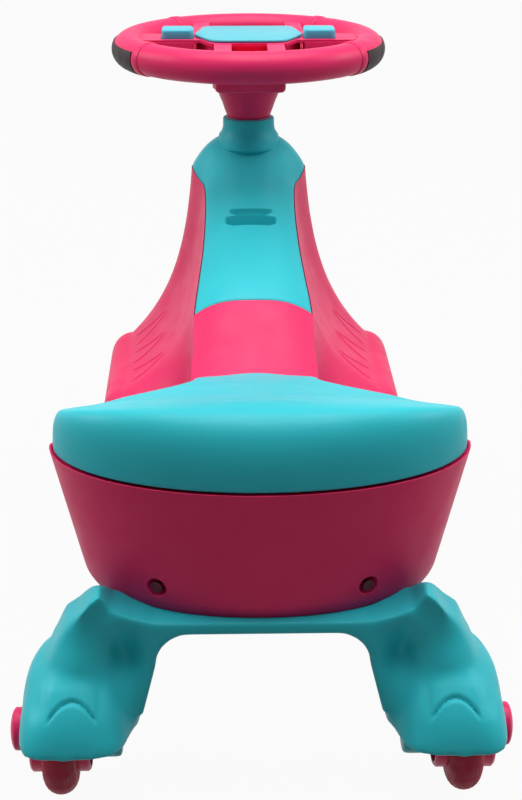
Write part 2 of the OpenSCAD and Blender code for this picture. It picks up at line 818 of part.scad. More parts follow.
// Rear cradle: beam, legs and fenders
well_half = hub_w/2 + side_gap;
dome_x = wheel_x + well_half + fender_wall;
dome_in_x = dome_x - dome_w;
leg_x = leg_gap/2;
inner_face_x = wheel_x - well_half;
inner_wall_x = inner_face_x - fender_wall;
arch_z = tub_floor_z - beam_h;
beam_lip_z = tub_floor_z + lip_h;
beam_back = rim_reach - rim_y - beam_inset;
skirt_z = wheel_r + skirt_rise;
leg_steps = 6;
dome_shares = [
    [0, 0.42], [0.03, 0.57], [0.075, 0.7], [0.14, 0.81], [0.22, 0.91], [0.32, 0.97], [0.43, 1], [0.6, 1],
    [0.74, 0.975], [0.86, 0.92], [0.95, 0.84], [1, 0.76]
];
arch_shares = [
    [0.32, 0.3], [0.44, 0.32], [0.54, 0.44], [0.616, 0.6], [0.645, 0.85], [0.66, 1], [0.7, 0.84],
    [0.731, 0.59], [0.763, 0.36], [0.815, 0.13], [0.834, -0.1], [0.853, -0.33], [0.872, -0.5], [0.885, -0.68]
];
shoulder_back = 20;
cap_foot_x = dome_x + fender_wall/2;

// Half outline of the beam and shoulders, seen along the car
function arch_point(p) = [dome_x*p[0], mix(arch_z, beam_lip_z, p[1])];
module arch_outline() {
    polygon(concat(
        [[0, arch_z], [0, arch_point(arch_shares[0])[1]]],
        [for (p = arch_shares) arch_point(p)],
        [[inner_wall_x, arch_point(arch_shares[len(arch_shares) - 1])[1]], [inner_wall_x, arch_z]]
    ));
}
module leg_outline() {
    polygon(concat(
        [[leg_x - leg_r, arch_z + beam_h/2]],
        [
            for (k = [0:leg_steps])
                let (a = 90*k/leg_steps)
                [leg_x - leg_r + leg_r*sin(a), arch_z - leg_r + leg_r*cos(a)]
        ],
        [
            [leg_x + 3*fender_wall, skirt_z + foot_rise],
            [dome_in_x - fender_wall/2, skirt_z + foot_rise/2],
            [dome_in_x, skirt_z],
            [inner_face_x, skirt_z],
            [inner_face_x, arch_z + beam_h/2]
        ]
    ));
}
module dome_solid(inset) {
    translate([dome_in_x, 0, wheel_r])
        along_x()
            rotate_extrude()
                polygon(concat(
                    [[0, 0]],
                    [
                        for (i = [len(dome_shares) - 1:-1:0])
                            let (p = dome_shares[i])
                            [dome_r*p[1] - inset, max(0, dome_w*(1 - p[0]) - inset)]
                    ],
                    [[0, dome_w - inset]]
                ));
}
// Room inside a fender, from one place across the car to another
module well(from, to) {
    intersection() {
        dome_solid(fender_wall);
        translate([from, -dome_r, wheel_r - dome_r])
            cube([to - from, 2*dome_r, 2*dome_r]);
    }
}
// Space that the tub fills, with its gap
function form_ring(p) =
    let (
        side = concat(
            [
                for (a = tail_angles)
                    [(rim_w/2 + fit_gap)*cos(a)*p[0], rim_y - (rim_reach + fit_gap)*sin(a)*p[0]]
            ],
            [
                for (t = mid_shares)
                    if (t < 1/2)
                        let (y = mix(rim_y, seam_y, t))
                        [(plan_half(y) + fit_gap)*p[0], y]
            ]
        ),
        z = mix(tub_floor_z, seam_floor_z, p[1]) - (p[1] == 0 ? fit_gap : 0)
    )
    concat(
        [for (q = side) [q[0], q[1], z]],
        [for (i = [len(side) - 1:-1:0]) [-side[i][0], side[i][1], z]]
    );
module tub_form() {
    stack([for (p = side_shares) form_ring(p)]);
}
module cradle_side() {
    difference() {
        union() {
            difference() {
                dome_solid(0);
                translate([0, -2*dome_r, skirt_z - 4*dome_r])
                    cube([2*dome_x, 4*dome_r, 4*dome_r]);
            }
            translate([0, leg_l - beam_back, 0])
                rotate([90, 0, 0])
                    linear_extrude(height = leg_l) leg_outline();
            intersection() {
                translate([0, beam_l - beam_back, 0])
                    rotate([90, 0, 0])
                        linear_extrude(height = beam_l) arch_outline();
                union() {
                    translate([0, -shoulder_back, beam_lip_z - shoulder_r])
                        along_x()
                            cylinder(r = shoulder_r, h = dome_x);
                    translate([0, -beam_back, arch_z])
                        cube([leg_x, beam_l, 2*lip_h]);
                }
            }
        }
        well(inner_face_x, inner_face_x + 2*well_half);
        well(dome_in_x + fender_wall, inner_wall_x);
        translate([leg_x + 4*fender_wall, fender_wall - beam_back, skirt_z - overrun])
            cube([
                inner_wall_x - leg_x - 4*fender_wall,
                leg_l - 2*fender_wall,
                arch_z - leg_r/2 - skirt_z + overrun
            ]);
    }
    translate([inner_face_x + 2*well_half, 0, wheel_r])
        along_x()
            cylinder(r = boss_r, h = cap_foot_x - inner_face_x - 2*well_half);
    translate([dome_in_x, 0, wheel_r])
        along_x()
            cylinder(r = boss_r, h = inner_face_x - dome_in_x);
}
module rear_cradle() {
    color("#41c3cd")
        placed()
            difference() {
                mirrored() cradle_side();
                mirrored()
                    translate([dome_in_x - overrun, 0, wheel_r])
                        along_x() {
                            cylinder(r = axle_r + seat_gap, h = dome_w + cap_h);
                            cylinder(r = nut_r + 2*fit_gap, h = inner_wall_x - dome_in_x + overrun);
                        }
                tub_form();
                for (p = rear_bolts)
                    translate([p[0], p[1], arch_z - overrun]) {
                        cylinder(r = screw_r + fit_gap, h = 2*beam_h);
                        cylinder(r = screw_head_r + fit_gap, h = screw_head_h + fit_gap + overrun);
                    }
            }
}

// Wheels
groove_share = 0.92;
groove_r = hub_r*groove_share;
crown_steps = 12;
module tyre_at(x, y) {
    color("#a8173c")
        placed()
            translate([x, y, wheel_r])
                along_x()
                    rotate_extrude()
                        polygon(concat(
                            [[groove_r + seat_gap, tyre_w/2], [groove_r + seat_gap, -tyre_w/2]],
                            [
                                for (k = [0:crown_steps])
                                    let (a = 180*k/crown_steps - 90)
                                    [wheel_r - tyre_w/2 + tyre_w/2*cos(a), tyre_w/2*sin(a)]
                            ]
                        ));
}
dish_share = 0.3;
hub_boss_r = sleeve_r + wall;
module hub_at(x, y) {
    h = hub_w/2;
    g = tyre_w/2 + seat_gap;
    d = hub_w*dish_share;
    color("#e63a70")
        placed()
            translate([x, y, wheel_r])
                along_x()
                    rotate_extrude()
                        polygon([
                            [sleeve_r + seat_gap, -h], [hub_boss_r, -h], [hub_boss_r + wall/2, d - h],
                            [hub_r - 2*wall, d - h], [hub_r - wall, -h], [hub_r - wall/2, -h],
                            [hub_r, wall/2 - h],
                            [hub_r, -g], [groove_r, -g], [groove_r, g], [hub_r, g], [hub_r, h - wall/2],
                            [hub_r - wall/2, h], [hub_r - wall, h], [hub_r - 2*wall, h - d],
                            [hub_boss_r + wall/2, h - d],
                            [hub_boss_r, h], [sleeve_r + seat_gap, h]
                        ]);
}
module sleeve_at(x, y) {
    color("#e8e8e4")
        placed()
            translate([x - hub_w/2, y, wheel_r])
                along_x()
                    tube(sleeve_r, axle_r + run_gap, hub_w);
}
module rear_hub_left() hub_at(-wheel_x, 0);
module rear_hub_right() hub_at(wheel_x, 0);
module front_hub_left() hub_at(-front_x, front_y);
module front_hub_right() hub_at(front_x, front_y);
module rear_tyre_left() tyre_at(-wheel_x, 0);
module rear_tyre_right() tyre_at(wheel_x, 0);
module front_tyre_left() tyre_at(-front_x, front_y);
module front_tyre_right() tyre_at(front_x, front_y);
module rear_sleeve_left() sleeve_at(-wheel_x, 0);
module rear_sleeve_right() sleeve_at(wheel_x, 0);
module front_sleeve_left() sleeve_at(-front_x, front_y);
module front_sleeve_right() sleeve_at(front_x, front_y);

// Rear axles, their washers, push nuts and caps
axle_head_h = 2.5;
axle_head_r = 7;
rear_axle_end_x = inner_wall_x - nut_h - wall;
module rear_axle(side) {
    color("#b9bcc0")
        placed()
            mirror([side < 0 ? 1 : 0, 0, 0]) {
                translate([rear_axle_end_x, 0, wheel_r])
                    along_x()
                        cylinder(r = axle_r, h = cap_foot_x - rear_axle_end_x + axle_head_h/2);
                translate([cap_foot_x + seat_gap, 0, wheel_r])
                    along_x()
                        cylinder(r = axle_head_r, h = axle_head_h);
            }
}
module rear_axle_left() rear_axle(-1);
module rear_axle_right() rear_axle(1);
module washer_x(x) {
    translate([x - washer_t/2, 0, wheel_r])
        along_x()
            tube(washer_r, axle_r + fit_gap/2, washer_t);
}
module rear_washers() {
    color("#d6d8da")
        placed()
            mirrored() {
                washer_x(wheel_x - hub_w/2 - side_gap/2);
                washer_x(wheel_x + hub_w/2 + side_gap/2);
            }
}
module rear_push_nuts() {
    color("#b9bcc0")
        placed()
            mirrored()
                translate([inner_wall_x - nut_h - seat_gap, 0, wheel_r])
                    along_x()
                        tube(nut_r, axle_r + seat_gap, nut_h);
}
cap_steps = 8;
module cap_dome(r, h) {
    difference() {
        rotate_extrude()
            polygon(concat(
                [[0, 0], [r, 0]],
                [
                    for (k = [0:cap_steps])
                        let (a = 90*k/cap_steps)
                        [r*cos(a), h/2 + h/2*sin(a)]
                ]
            ));
        translate([0, 0, -overrun])
            cylinder(r = r - 2*shell, h = h/2 + overrun);
    }
}
module hub_cap(side) {
    color("#f03773")
        placed()
            mirror([side < 0 ? 1 : 0, 0, 0])
                translate([cap_foot_x + seat_gap, 0, wheel_r])
                    along_x()
                        cap_dome(cap_r, cap_h);
}
module hub_cap_left() hub_cap(-1);
module hub_cap_right() hub_cap(1);

// Screws
module screw(l) {
    cylinder(r = screw_head_r, h = screw_head_h);
    translate([0, 0, screw_head_h/2])
        cylinder(r = screw_r, h = l - screw_head_h/2);
}
module cradle_screws() {
    color("#8d9095")
        placed()
            for (p = rear_bolts)
                translate([p[0], p[1], arch_z])
                    screw(beam_h + 4*wall);
}
module tub_screws() {
    color("#8d9095")
        placed()
            at_tub_screws()
                translate([0, 0, fit_gap/2])
                    union() {
                        cylinder(r = screw_head_r, h = wall/2 - fit_gap/2 - seat_gap);
                        cylinder(r = screw_r, h = tub_boss_end + 2*wall);
                    }
}
module bush_screws() {
    color("#8d9095")
        placed()
            for (p = bush_bolts)
                translate([p[0], column_y + p[1], lower_flange_z - bush_head_h - seat_gap])
                    union() {
                        cylinder(r = screw_head_r, h = bush_head_h);
                        cylinder(r = screw_r, h = bush_head_h + 3*wall);
                    }
}

// Steering column and yoke
yoke_top_z = lower_flange_z - bush_head_h - 2*fit_gap;
yoke_foot_z = wheel_r - yoke_tube_r;
shaft_foot_z = wheel_r;
shaft_top_z = wheel_z - tube_r - 2*wall;
yoke_bolt_z = (yoke_top_z + shaft_foot_z)/2;
boss_foot_z = collar_z + 2*fit_gap;
collar_drop = 20;
collar_foot_z = wheel_z - tube_r - collar_drop;
boss_bolt_z = (boss_foot_z + collar_foot_z)/2;
yoke_tube_half = front_x - hub_w/2 - side_gap;
front_axle_end_x = front_x + hub_w/2 + side_gap + nut_h + wall;

module steering_shaft() {
    color("#b9bcc0")
        placed()
            translate([0, column_y, 0])
                difference() {
                    translate([0, 0, shaft_foot_z])
                        cylinder(r = shaft_r, h = shaft_top_z - shaft_foot_z);
                    for (z = [yoke_bolt_z, boss_bolt_z])
                        translate([-2*shaft_r, 0, z])
                            along_x()
                                cylinder(r = bolt_r + seat_gap, h = 4*shaft_r);
                }
}
module thrust_washer() {
    color("#d6d8da")
        placed()
            translate([0, column_y, yoke_top_z + fit_gap])
                tube(bush_r, shaft_r + fit_gap/2, bush_head_h);
}
module front_yoke() {
    color("#41c3cd")
        placed()
            difference() {
                union() {
                    translate([0, column_y, yoke_foot_z])
                        cylinder(r = yoke_r, h = yoke_top_z - yoke_foot_z);
                    translate([-yoke_tube_half, front_y, wheel_r])
                        along_x()
                            cylinder(r = yoke_tube_r, h = 2*yoke_tube_half);
                    for (side = [-1, 1])
                        translate([side*yoke_r/2 - wall, column_y, yoke_foot_z + wall])
                            cube([2*wall, front_lead, yoke_tube_r + boss_r]);
                    translate([-yoke_r/2, column_y, yoke_foot_z + wall])
                        cube([yoke_r, front_lead, 2*wall]);
                }
                translate([0, column_y, shaft_foot_z])
                    cylinder(r = shaft_r + seat_gap, h = yoke_top_z);
                translate([-2*yoke_tube_half, front_y, wheel_r])
                    along_x()
                        cylinder(r = axle_r + seat_gap, h = 4*yoke_tube_half);
                translate([-2*yoke_r, column_y, yoke_bolt_z])
                    along_x()
                        cylinder(r = bolt_r + seat_gap, h = 4*yoke_r);
            }
}
// Cross bolt with its nut, along X through a round boss
module cross_bolt(r) {
    translate([-r, 0, 0])
        along_x()
            cylinder(r = bolt_r, h = 2*r + nut_h);
    translate([-r - screw_head_h, 0, 0])
        along_x()
            cylinder(r = 2*bolt_r, h = screw_head_h + seat_gap);
}
module cross_nut(r) {
    translate([r, 0, 0])
        along_x()
            difference() {
                cylinder(r = 2*bolt_r, h = nut_h, $fn = 6);
                translate([0, 0, -overrun])
                    cylinder(r = bolt_r + seat_gap, h = nut_h + 2*overrun);
            }
}
boss_bolt_share = 0.75;
boss_bolt_r = mix(shaft_r, cone_tip_r, boss_bolt_share);
module yoke_bolt() {
    color("#8d9095")
        placed()
            translate([0, column_y, yoke_bolt_z])
                cross_bolt(yoke_r + seat_gap);
}
module boss_bolt() {
    color("#8d9095")
        placed()
            translate([0, column_y, boss_bolt_z])
                cross_bolt(boss_bolt_r);
}
module cross_nuts() {
    color("#8d9095")
        placed() {
            translate([0, column_y, yoke_bolt_z])
                cross_nut(yoke_r + seat_gap);
            translate([0, column_y, boss_bolt_z])
                cross_nut(boss_bolt_r);
        }
}
module front_axle() {
    color("#b9bcc0")
        placed()
            translate([-front_axle_end_x, front_y, wheel_r])
                along_x()
                    cylinder(r = axle_r, h = 2*front_axle_end_x);
}
module front_washers() {
    color("#d6d8da")
        placed()
            mirrored()
                translate([0, front_y, 0]) {
                    washer_x(front_x - hub_w/2 - side_gap/2);
                    washer_x(front_x + hub_w/2 + side_gap/2);
                }
}
module front_nuts() {
    color("#b9bcc0")
        placed()
            mirrored()
                translate([front_x + hub_w/2 + side_gap, front_y, wheel_r])
                    along_x()
                        tube(nut_r, axle_r + seat_gap, nut_h);
}
module front_cap(side) {
    color("#f03773")
        placed()
            mirror([side < 0 ? 1 : 0, 0, 0])
                translate([front_x + hub_w/2 + side_gap + seat_gap, front_y, wheel_r])
                    along_x()
                        cap_dome(cap_r, 2*(nut_h + wall + seat_gap));
}
module front_cap_left() front_cap(-1);
module front_cap_right() front_cap(1);

// Steering wheel
plate_top_z = wheel_z + tube_r*2/3;
plate_z = plate_top_z - shell;
hub_floor_z = wheel_z - tube_r;
spoke_floor_z = wheel_z - tube_r/2;
spoke_reach = rim_r - sqrt(pow(tube_r, 2) - pow(plate_z - wheel_z, 2)) + shell/2;
near_share = 0.43;
panel_near = -panel_l*near_share;
panel_far = panel_l + panel_near;
panel_corner_share = 0.65;
near_spoke_x = panel_w/4;
far_spoke_x = panel_w/2 - spoke_w/4;
key_gap_share = 0.1;
key_x = panel_w/2 + key_w*key_gap_share + key_w/2;
bar_l = key_l + 4*shell;
bar_y = 0;
hub_rim = 2*shell;

function panel_outline(grow) = [
    [-panel_w/2 - grow, bar_y],
    [-panel_w/2*panel_corner_share - grow/2, panel_near - grow],
    [panel_w/2*panel_corner_share + grow/2, panel_near - grow],
    [panel_w/2 + grow, bar_y],
    [panel_w/2*panel_corner_share*4/3, panel_far + grow],
    [-panel_w/2*panel_corner_share*4/3, panel_far + grow]
];
module spoke_plan() {
    polygon(panel_outline(hub_rim));
    intersection() {
        circle(r = spoke_reach);
        union() {
            translate([0, bar_y]) square([2*spoke_reach, bar_l], center = true);
            for (side = [-1, 1]) {
                translate([side*near_spoke_x - spoke_w/2, -spoke_reach]) square([spoke_w, spoke_reach]);
                translate([side*far_spoke_x - spoke_w/2, 0]) square([spoke_w, spoke_reach]);
            }
        }
    }
}
module rim_half(side) {
    rotate_extrude()
        translate([rim_r, 0])
            intersection() {
                difference() {
                    circle(r = tube_r);
                    circle(r = tube_r - shell);
                }
                translate([-2*tube_r, side > 0 ? 0 : -2*tube_r]) square([4*tube_r, 2*tube_r]);
            }
}
wheel_bolts = [for (sx = [-1, 1]) [sx*(spoke_reach - 2*screw_head_r), 0]];
key_flange = 1.5;

module wheel_upper() {
    color("#f03773")
        placed()
            translate([0, column_y, wheel_z])
                difference() {
                    union() {
                        rim_half(1);
                        translate([0, 0, plate_z - wheel_z])
                            linear_extrude(height = shell) spoke_plan();
                        for (p = wheel_bolts)
                            translate([p[0], p[1], spoke_floor_z + shell - wheel_z + seat_gap])
                                cylinder(r = screw_head_r, h = plate_z - spoke_floor_z - shell/2);
                    }
                    for (side = [-1, 1])
                        translate([side*key_x, 0, plate_z - wheel_z + shell/2])
                            cube([key_w + 2*fit_gap, key_l + 2*fit_gap, shell + 2*overrun], center = true);
                    translate([0, 0, plate_z - wheel_z - overrun])
                        linear_extrude(height = shell + 2*overrun) polygon(panel_outline(-hub_rim));
                    for (p = wheel_bolts)
                        translate([p[0], p[1], spoke_floor_z - wheel_z])
                            cylinder(r = screw_r + pilot_gap, h = plate_z - spoke_floor_z);
                }
}
module wheel_lower() {
    color("#e8316c")
        placed()
            translate([0, column_y, 0])
                difference() {
                    union() {
                        translate([0, 0, wheel_z]) rim_half(-1);
                        translate([0, 0, spoke_floor_z])
                            linear_extrude(height = shell) spoke_plan();
                        translate([0, 0, hub_floor_z])
                            linear_extrude(height = plate_z - hub_floor_z - seat_gap)
                                polygon(panel_outline(0));
                        translate([0, 0, collar_foot_z])
                            cylinder(r = hub_collar_r, h = hub_floor_z - collar_foot_z + shell);
                        translate([0, 0, boss_foot_z])
                            cylinder(r1 = cone_tip_r, r2 = cone_r, h = collar_foot_z - boss_foot_z);
                    }
                    translate([0, 0, hub_floor_z + shell])
                        linear_extrude(height = plate_z) polygon(panel_outline(-shell));
                    difference() {
                        translate([0, 0, collar_foot_z - overrun])
                            cylinder(
                                r = hub_collar_r - shell,
                                h = hub_floor_z - collar_foot_z + overrun - seat_gap
                            );
                        translate([0, 0, collar_foot_z - 2*overrun])
                            cylinder(r = cone_tip_r, h = hub_floor_z);
                        translate([0, 0, collar_foot_z - 2*overrun])
                            cylinder(r = hub_collar_r, h = shell + 2*overrun);
                    }
                    translate([0, 0, boss_foot_z - overrun])
                        cylinder(r = shaft_r + seat_gap, h = shaft_top_z - boss_foot_z + overrun + seat_gap);
                    translate([-boss_bolt_r - cone_r, 0, boss_bolt_z])
                        along_x()
                            cylinder(r = bolt_r + seat_gap, h = 4*cone_r);
                    for (side = [0, 1])
                        mirror([side, 0, 0])
                            translate([boss_bolt_r - 2*seat_gap, 0, boss_bolt_z])
                                along_x()
                                    cylinder(r = 2*bolt_r + fit_gap, h = cone_r);
                    for (p = wheel_bolts)
                        translate([p[0], p[1], spoke_floor_z - overrun])
                            cylinder(r = screw_r + fit_gap, h = shell + 2*overrun);
                }
}
module wheel_screws() {
    color("#8d9095")
        placed()
            for (p = wheel_bolts)
                translate([p[0], column_y + p[1], spoke_floor_z - screw_head_h - seat_gap])
                    screw(screw_head_h + plate_z - spoke_floor_z - shell);
}

// Grips lie over the outer half of the rim; angles run from the near side
grip_from = 58;
grip_to = 139;
grip_low = -118;
grip_high = 28;
grip_steps = 14;
// Radius at which the flats of the grip's inside clear the rim
grip_in_r = tube_r/cos((grip_high - grip_low)/grip_steps/2) + seat_gap;
function grip_arc(r, a, b) = [
    for (k = [0:grip_steps])
        let (t = mix(a, b, k/grip_steps))
        [rim_r + r*cos(t), r*sin(t)]
];
module grip(side) {
    color("#3c3033")
        placed()
            translate([0, column_y, wheel_z])
                mirror([side < 0 ? 1 : 0, 0, 0])
                    rotate([0, 0, grip_from - 90])
                        rotate_extrude(angle = grip_to - grip_from)
                            polygon(concat(
                                grip_arc(tube_r + grip_t, grip_low, grip_high),
                                grip_arc(grip_in_r, grip_high, grip_low)
                            ));
}
module grip_left() grip(-1);
module grip_right() grip(1);
module centre_panel() {
    color("#41c3cd")
        placed()
            translate([0, column_y, plate_top_z + seat_gap])
                linear_extrude(height = shell) polygon(panel_outline(shell));
}

// Keys slide in the top plate on a spring
key_rest = 0.4;
key_foot_z = plate_z - key_flange - key_rest;
module key(side) {
    color("#41c3cd")
        placed()
            translate([side*key_x, column_y, 0]) {
                translate([-key_w/2, -key_l/2, key_foot_z])
                    cube([key_w, key_l, plate_top_z + key_h - key_foot_z]);
                translate([-key_w/2 - key_flange, -key_l/2 - key_flange, key_foot_z])
                    cube([key_w + 2*key_flange, key_l + 2*key_flange, key_flange]);
            }
}
module key_left() key(-1);
module key_right() key(1);
module key_spring(side) {
    color("#b9bcc0")
        placed()
            translate([side*key_x, column_y, spoke_floor_z + shell + seat_gap])
                tube(2*bolt_r, bolt_r + shell/2, key_foot_z - spoke_floor_z - shell - 2*seat_gap);
}
module key_spring_left() key_spring(-1);
module key_spring_right() key_spring(1);

// Sound unit under the middle panel
cell_r = 7.25;
cell_l = 50.5;
speaker_r = 13;
speaker_h = 8;
board_t = 1.6;
inside_z = hub_floor_z + shell + seat_gap;
board_z = inside_z + speaker_h + fit_gap;
board_l = 2*speaker_r - wall;
speaker_y = panel_far - speaker_r - 2*shell;
module cells() {
    color("#4a6a8c")
        placed()
            for (k = [0, 1])
                translate([
                    -cell_l/2,
                    column_y + panel_near + 2*shell + cell_r + k*(2*cell_r + fit_gap),
                    inside_z + cell_r
                ])
                    along_x()
                        cylinder(r = cell_r, h = cell_l);
}
module speaker() {
    color("#2e2e30")
        placed()
            translate([0, column_y + speaker_y, inside_z])
                cylinder(r = speaker_r, h = speaker_h);
}
module sound_board() {
    color("#2f7a4a")
        placed()
            translate([-cell_l/2, column_y + speaker_y - board_l/2, board_z])
                cube([cell_l, board_l, board_t]);
}

body_shell();
underbody_pan();
seat();
neck_cover();
upper_bush();
lower_bush();
column_tube();
rear_cradle();
rear_axle_left();
rear_axle_right();
rear_washers();
rear_push_nuts();
hub_cap_left();
hub_cap_right();
cradle_screws();
tub_screws();
bush_screws();
rear_hub_left();
rear_tyre_left();
rear_sleeve_left();
rear_hub_right();
rear_tyre_right();
rear_sleeve_right();
steering_shaft();
thrust_washer();
front_yoke();
yoke_bolt();
boss_bolt();
cross_nuts();
front_axle();
front_washers();
front_nuts();
front_cap_left();
front_cap_right();
front_hub_left();
front_tyre_left();
front_sleeve_left();
front_hub_right();
front_tyre_right();
front_sleeve_right();
wheel_upper();
wheel_lower();
wheel_screws();
grip_left();
grip_right();
centre_panel();
key_left();
key_right();
key_spring_left();
key_spring_right();
cells();
speaker();
sound_board();
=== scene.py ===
"""A ride-on wiggle car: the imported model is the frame, and this script gives it its visible surfaces."""
import json
import math

import bmesh
import bpy
import numpy
from mathutils import Matrix, Vector


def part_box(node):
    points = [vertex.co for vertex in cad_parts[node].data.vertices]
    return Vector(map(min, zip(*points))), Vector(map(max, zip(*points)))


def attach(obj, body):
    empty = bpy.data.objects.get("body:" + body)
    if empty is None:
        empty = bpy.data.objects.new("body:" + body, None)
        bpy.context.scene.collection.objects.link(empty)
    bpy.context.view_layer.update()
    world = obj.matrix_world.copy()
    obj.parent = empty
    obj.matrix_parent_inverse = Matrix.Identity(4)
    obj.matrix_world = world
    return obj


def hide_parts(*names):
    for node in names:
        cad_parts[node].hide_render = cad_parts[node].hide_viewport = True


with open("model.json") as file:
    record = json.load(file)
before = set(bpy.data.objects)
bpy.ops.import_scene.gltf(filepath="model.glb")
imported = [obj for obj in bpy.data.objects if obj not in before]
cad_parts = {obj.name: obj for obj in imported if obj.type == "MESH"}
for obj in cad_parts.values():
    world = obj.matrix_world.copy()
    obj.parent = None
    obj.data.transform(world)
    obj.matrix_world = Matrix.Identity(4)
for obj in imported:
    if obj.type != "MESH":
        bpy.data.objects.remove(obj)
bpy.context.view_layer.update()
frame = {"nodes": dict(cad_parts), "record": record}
nodes = frame["nodes"]

# Driving sizes in metres; places along the car are counted from the rear axle
AXLE_Y = sum(p[1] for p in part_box("rear_axle_left")) / 2
COLUMN_Y = 0.480
WHEEL_R = 0.043
WALL = 0.003
FIT_GAP = 0.0004


def place(x, y, z):
    """A point measured from the rear axle, in the model's frame."""
    return (x, y + AXLE_Y, z)


# Shapes shared by the shells: plan, side view and cross sections of the body

RIM_W, RIM_Y, RIM_REACH = 0.276, 0.055, 0.091
TUB_FLOOR_Z, FRONT_FLOOR_Z, SEAM_FLOOR_Z = 0.131, 0.108, 0.222
WAIST_W, WING_W, WING_Z, WING_EDGE = 0.100, 0.240, 0.158, 0.011
RIM_LIP, DECK_SINK, DECK_CAMBER = 0.0025, 0.002, 0.0014
DECK_Z = SEAM_FLOOR_Z - DECK_SINK
SEAM_Y, SEAM_Z = 0.285, 0.250
SHOULDER_Z, HUMP_Z, NOSE_Z = 0.338, 0.208, 0.128
SEAM_W, NECK_W, SHOULDER_W = 0.091, 0.076, 0.096
CROWN_FALL, SHOULDER_FALL, CROWN_POWER = 0.012, 0.030, 3.0
COLLAR_R, COLLAR_Z, COLLAR_ROOT = 0.0215, 0.352, 0.019
SEAT_TIP_Y, SEAT_TIP_W, SEAT_H, SEAT_FALL, SEAT_LIFT = 0.222, 0.092, 0.047, 0.008, 0.0014
NOSE_REACH, NOSE_POWER, NOSE_END = 0.135, 2.3, 0.997
NOSE_Y = COLUMN_Y + NOSE_REACH
NOSE_START_Y = COLUMN_Y - WING_EDGE
NOSE_L = NOSE_Y - NOSE_START_Y
COVER_END_SHARE, WAIST_SHARE, WING_SHARE, DECK_END_SHARE = 0.35, 0.9, 0.3, 0.2
COVER_END_Y = COLUMN_Y + NOSE_REACH * COVER_END_SHARE
SUNK_H = WALL + FIT_GAP
STEP = 0.0003
FLARE_POWER, WAIST_POWER = 2.6, 0.65
SPINE_SHARE, EDGE_SHARE = 0.92, 0.8
WING_ROUND = 0.016
SIDE_FOOT_SHARE, SIDE_ROUND_SHARE, SIDE_ROUND_H = 0.8315, 0.0225, 0.12
SIDE_HEIGHTS = (0.0, 0.1, 0.5, 1.0)


def mix(a, b, t):
    return a + (b - a) * t


def smooth(t):
    c = min(1.0, max(0.0, t))
    return c * c * (3 - 2 * c)


def slope(rows, i):
    if i <= 0 or i >= len(rows) - 1:
        return 0.0
    return (rows[i + 1][1] - rows[i - 1][1]) / (rows[i + 1][0] - rows[i - 1][0])


def curve(rows, y):
    """Smooth curve through rows of (place, value), held level past both ends."""
    i = 0
    while i < len(rows) - 2 and y >= rows[i + 1][0]:
        i += 1
    span = rows[i + 1][0] - rows[i][0]
    u = min(1.0, max(0.0, (y - rows[i][0]) / span))
    a, b = slope(rows, i) * span, slope(rows, i + 1) * span
    d = rows[i + 1][1] - rows[i][1]
    return rows[i][1] + u * (a + u * (3 * d - 2 * a - b + u * (a + b - 2 * d)))


WAIST_Y = mix(RIM_Y, SEAM_Y, WAIST_SHARE)
WING_Y = mix(SEAM_Y, COLUMN_Y, WING_SHARE)
DECK_END_Y = mix(RIM_Y, SEAM_Y, DECK_END_SHARE)
HUMP_Y = SEAT_TIP_Y - WING_EDGE
NECK_SHARES = ((0, 0), (0.23, 0.2), (0.46, 0.4), (0.69, 0.62), (0.87, 0.83), (0.95, 0.96), (1, 1))
NOSE_SHARES = (
    (0.15, 0.985), (0.3, 0.93), (0.42, 0.83), (0.5, 0.72), (0.6, 0.56), (0.7, 0.42), (0.8, 0.3), (0.9, 0.18),
    (1, 0)
)
SPINE_ROWS = (
    [(RIM_Y, DECK_Z), (DECK_END_Y, DECK_Z), (HUMP_Y, HUMP_Z)]
    + [(mix(SEAM_Y, COLUMN_Y, a), mix(SEAM_Z, SHOULDER_Z, b)) for a, b in NECK_SHARES]
    + [(mix(COLUMN_Y, NOSE_Y, a), mix(NOSE_Z, SHOULDER_Z, b)) for a, b in NOSE_SHARES]
)
HALF_ROWS = [
    (DECK_END_Y, WAIST_W / 2), (HUMP_Y, (WAIST_W + SEAM_W) / 4), (SEAM_Y, SEAM_W / 2),
    (mix(SEAM_Y, COLUMN_Y, 0.46), NECK_W / 2), (mix(SEAM_Y, COLUMN_Y, 0.8), NECK_W / 2),
    (COLUMN_Y, SHOULDER_W / 2), (COVER_END_Y, SHOULDER_W / 2 * 0.92), (NOSE_Y, SHOULDER_W / 2 * 0.4)
]
FALL_ROWS = [
    (DECK_END_Y, 0.0), (HUMP_Y, CROWN_FALL * 0.65), (SEAM_Y, CROWN_FALL),
    (mix(SEAM_Y, COLUMN_Y, 0.75), CROWN_FALL), (COLUMN_Y, SHOULDER_FALL),
    (COVER_END_Y, SHOULDER_FALL * 0.77), (NOSE_Y, SHOULDER_FALL * 0.13)
]


def nose_taper(u):
    return (1 - min(1.0, u) ** NOSE_POWER) ** (1 / NOSE_POWER)


def plan_half(y):
    """Half width of the body in plan, ahead of the tub's rounded back."""
    if y < WAIST_Y:
        return mix(RIM_W / 2, WAIST_W / 2, smooth((max(0.0, y - RIM_Y) / (WAIST_Y - RIM_Y)) ** WAIST_POWER))
    if y < NOSE_START_Y:
        return mix(WAIST_W / 2, WING_W / 2, smooth((y - WAIST_Y) / (WING_Y - WAIST_Y)))
    return WING_W / 2 * nose_taper((y - NOSE_START_Y) / NOSE_L)


def spine_z(y):
    return curve(SPINE_ROWS, y)


def spine_half(y):
    return min(curve(HALF_ROWS, y), plan_half(y) * SPINE_SHARE)


def spine_fall(y):
    return curve(FALL_ROWS, y)


def crown_z(x, y):
    """Height of the rounded back of the neck."""
    return spine_z(y) - spine_fall(y) * (abs(x) / spine_half(y)) ** CROWN_POWER


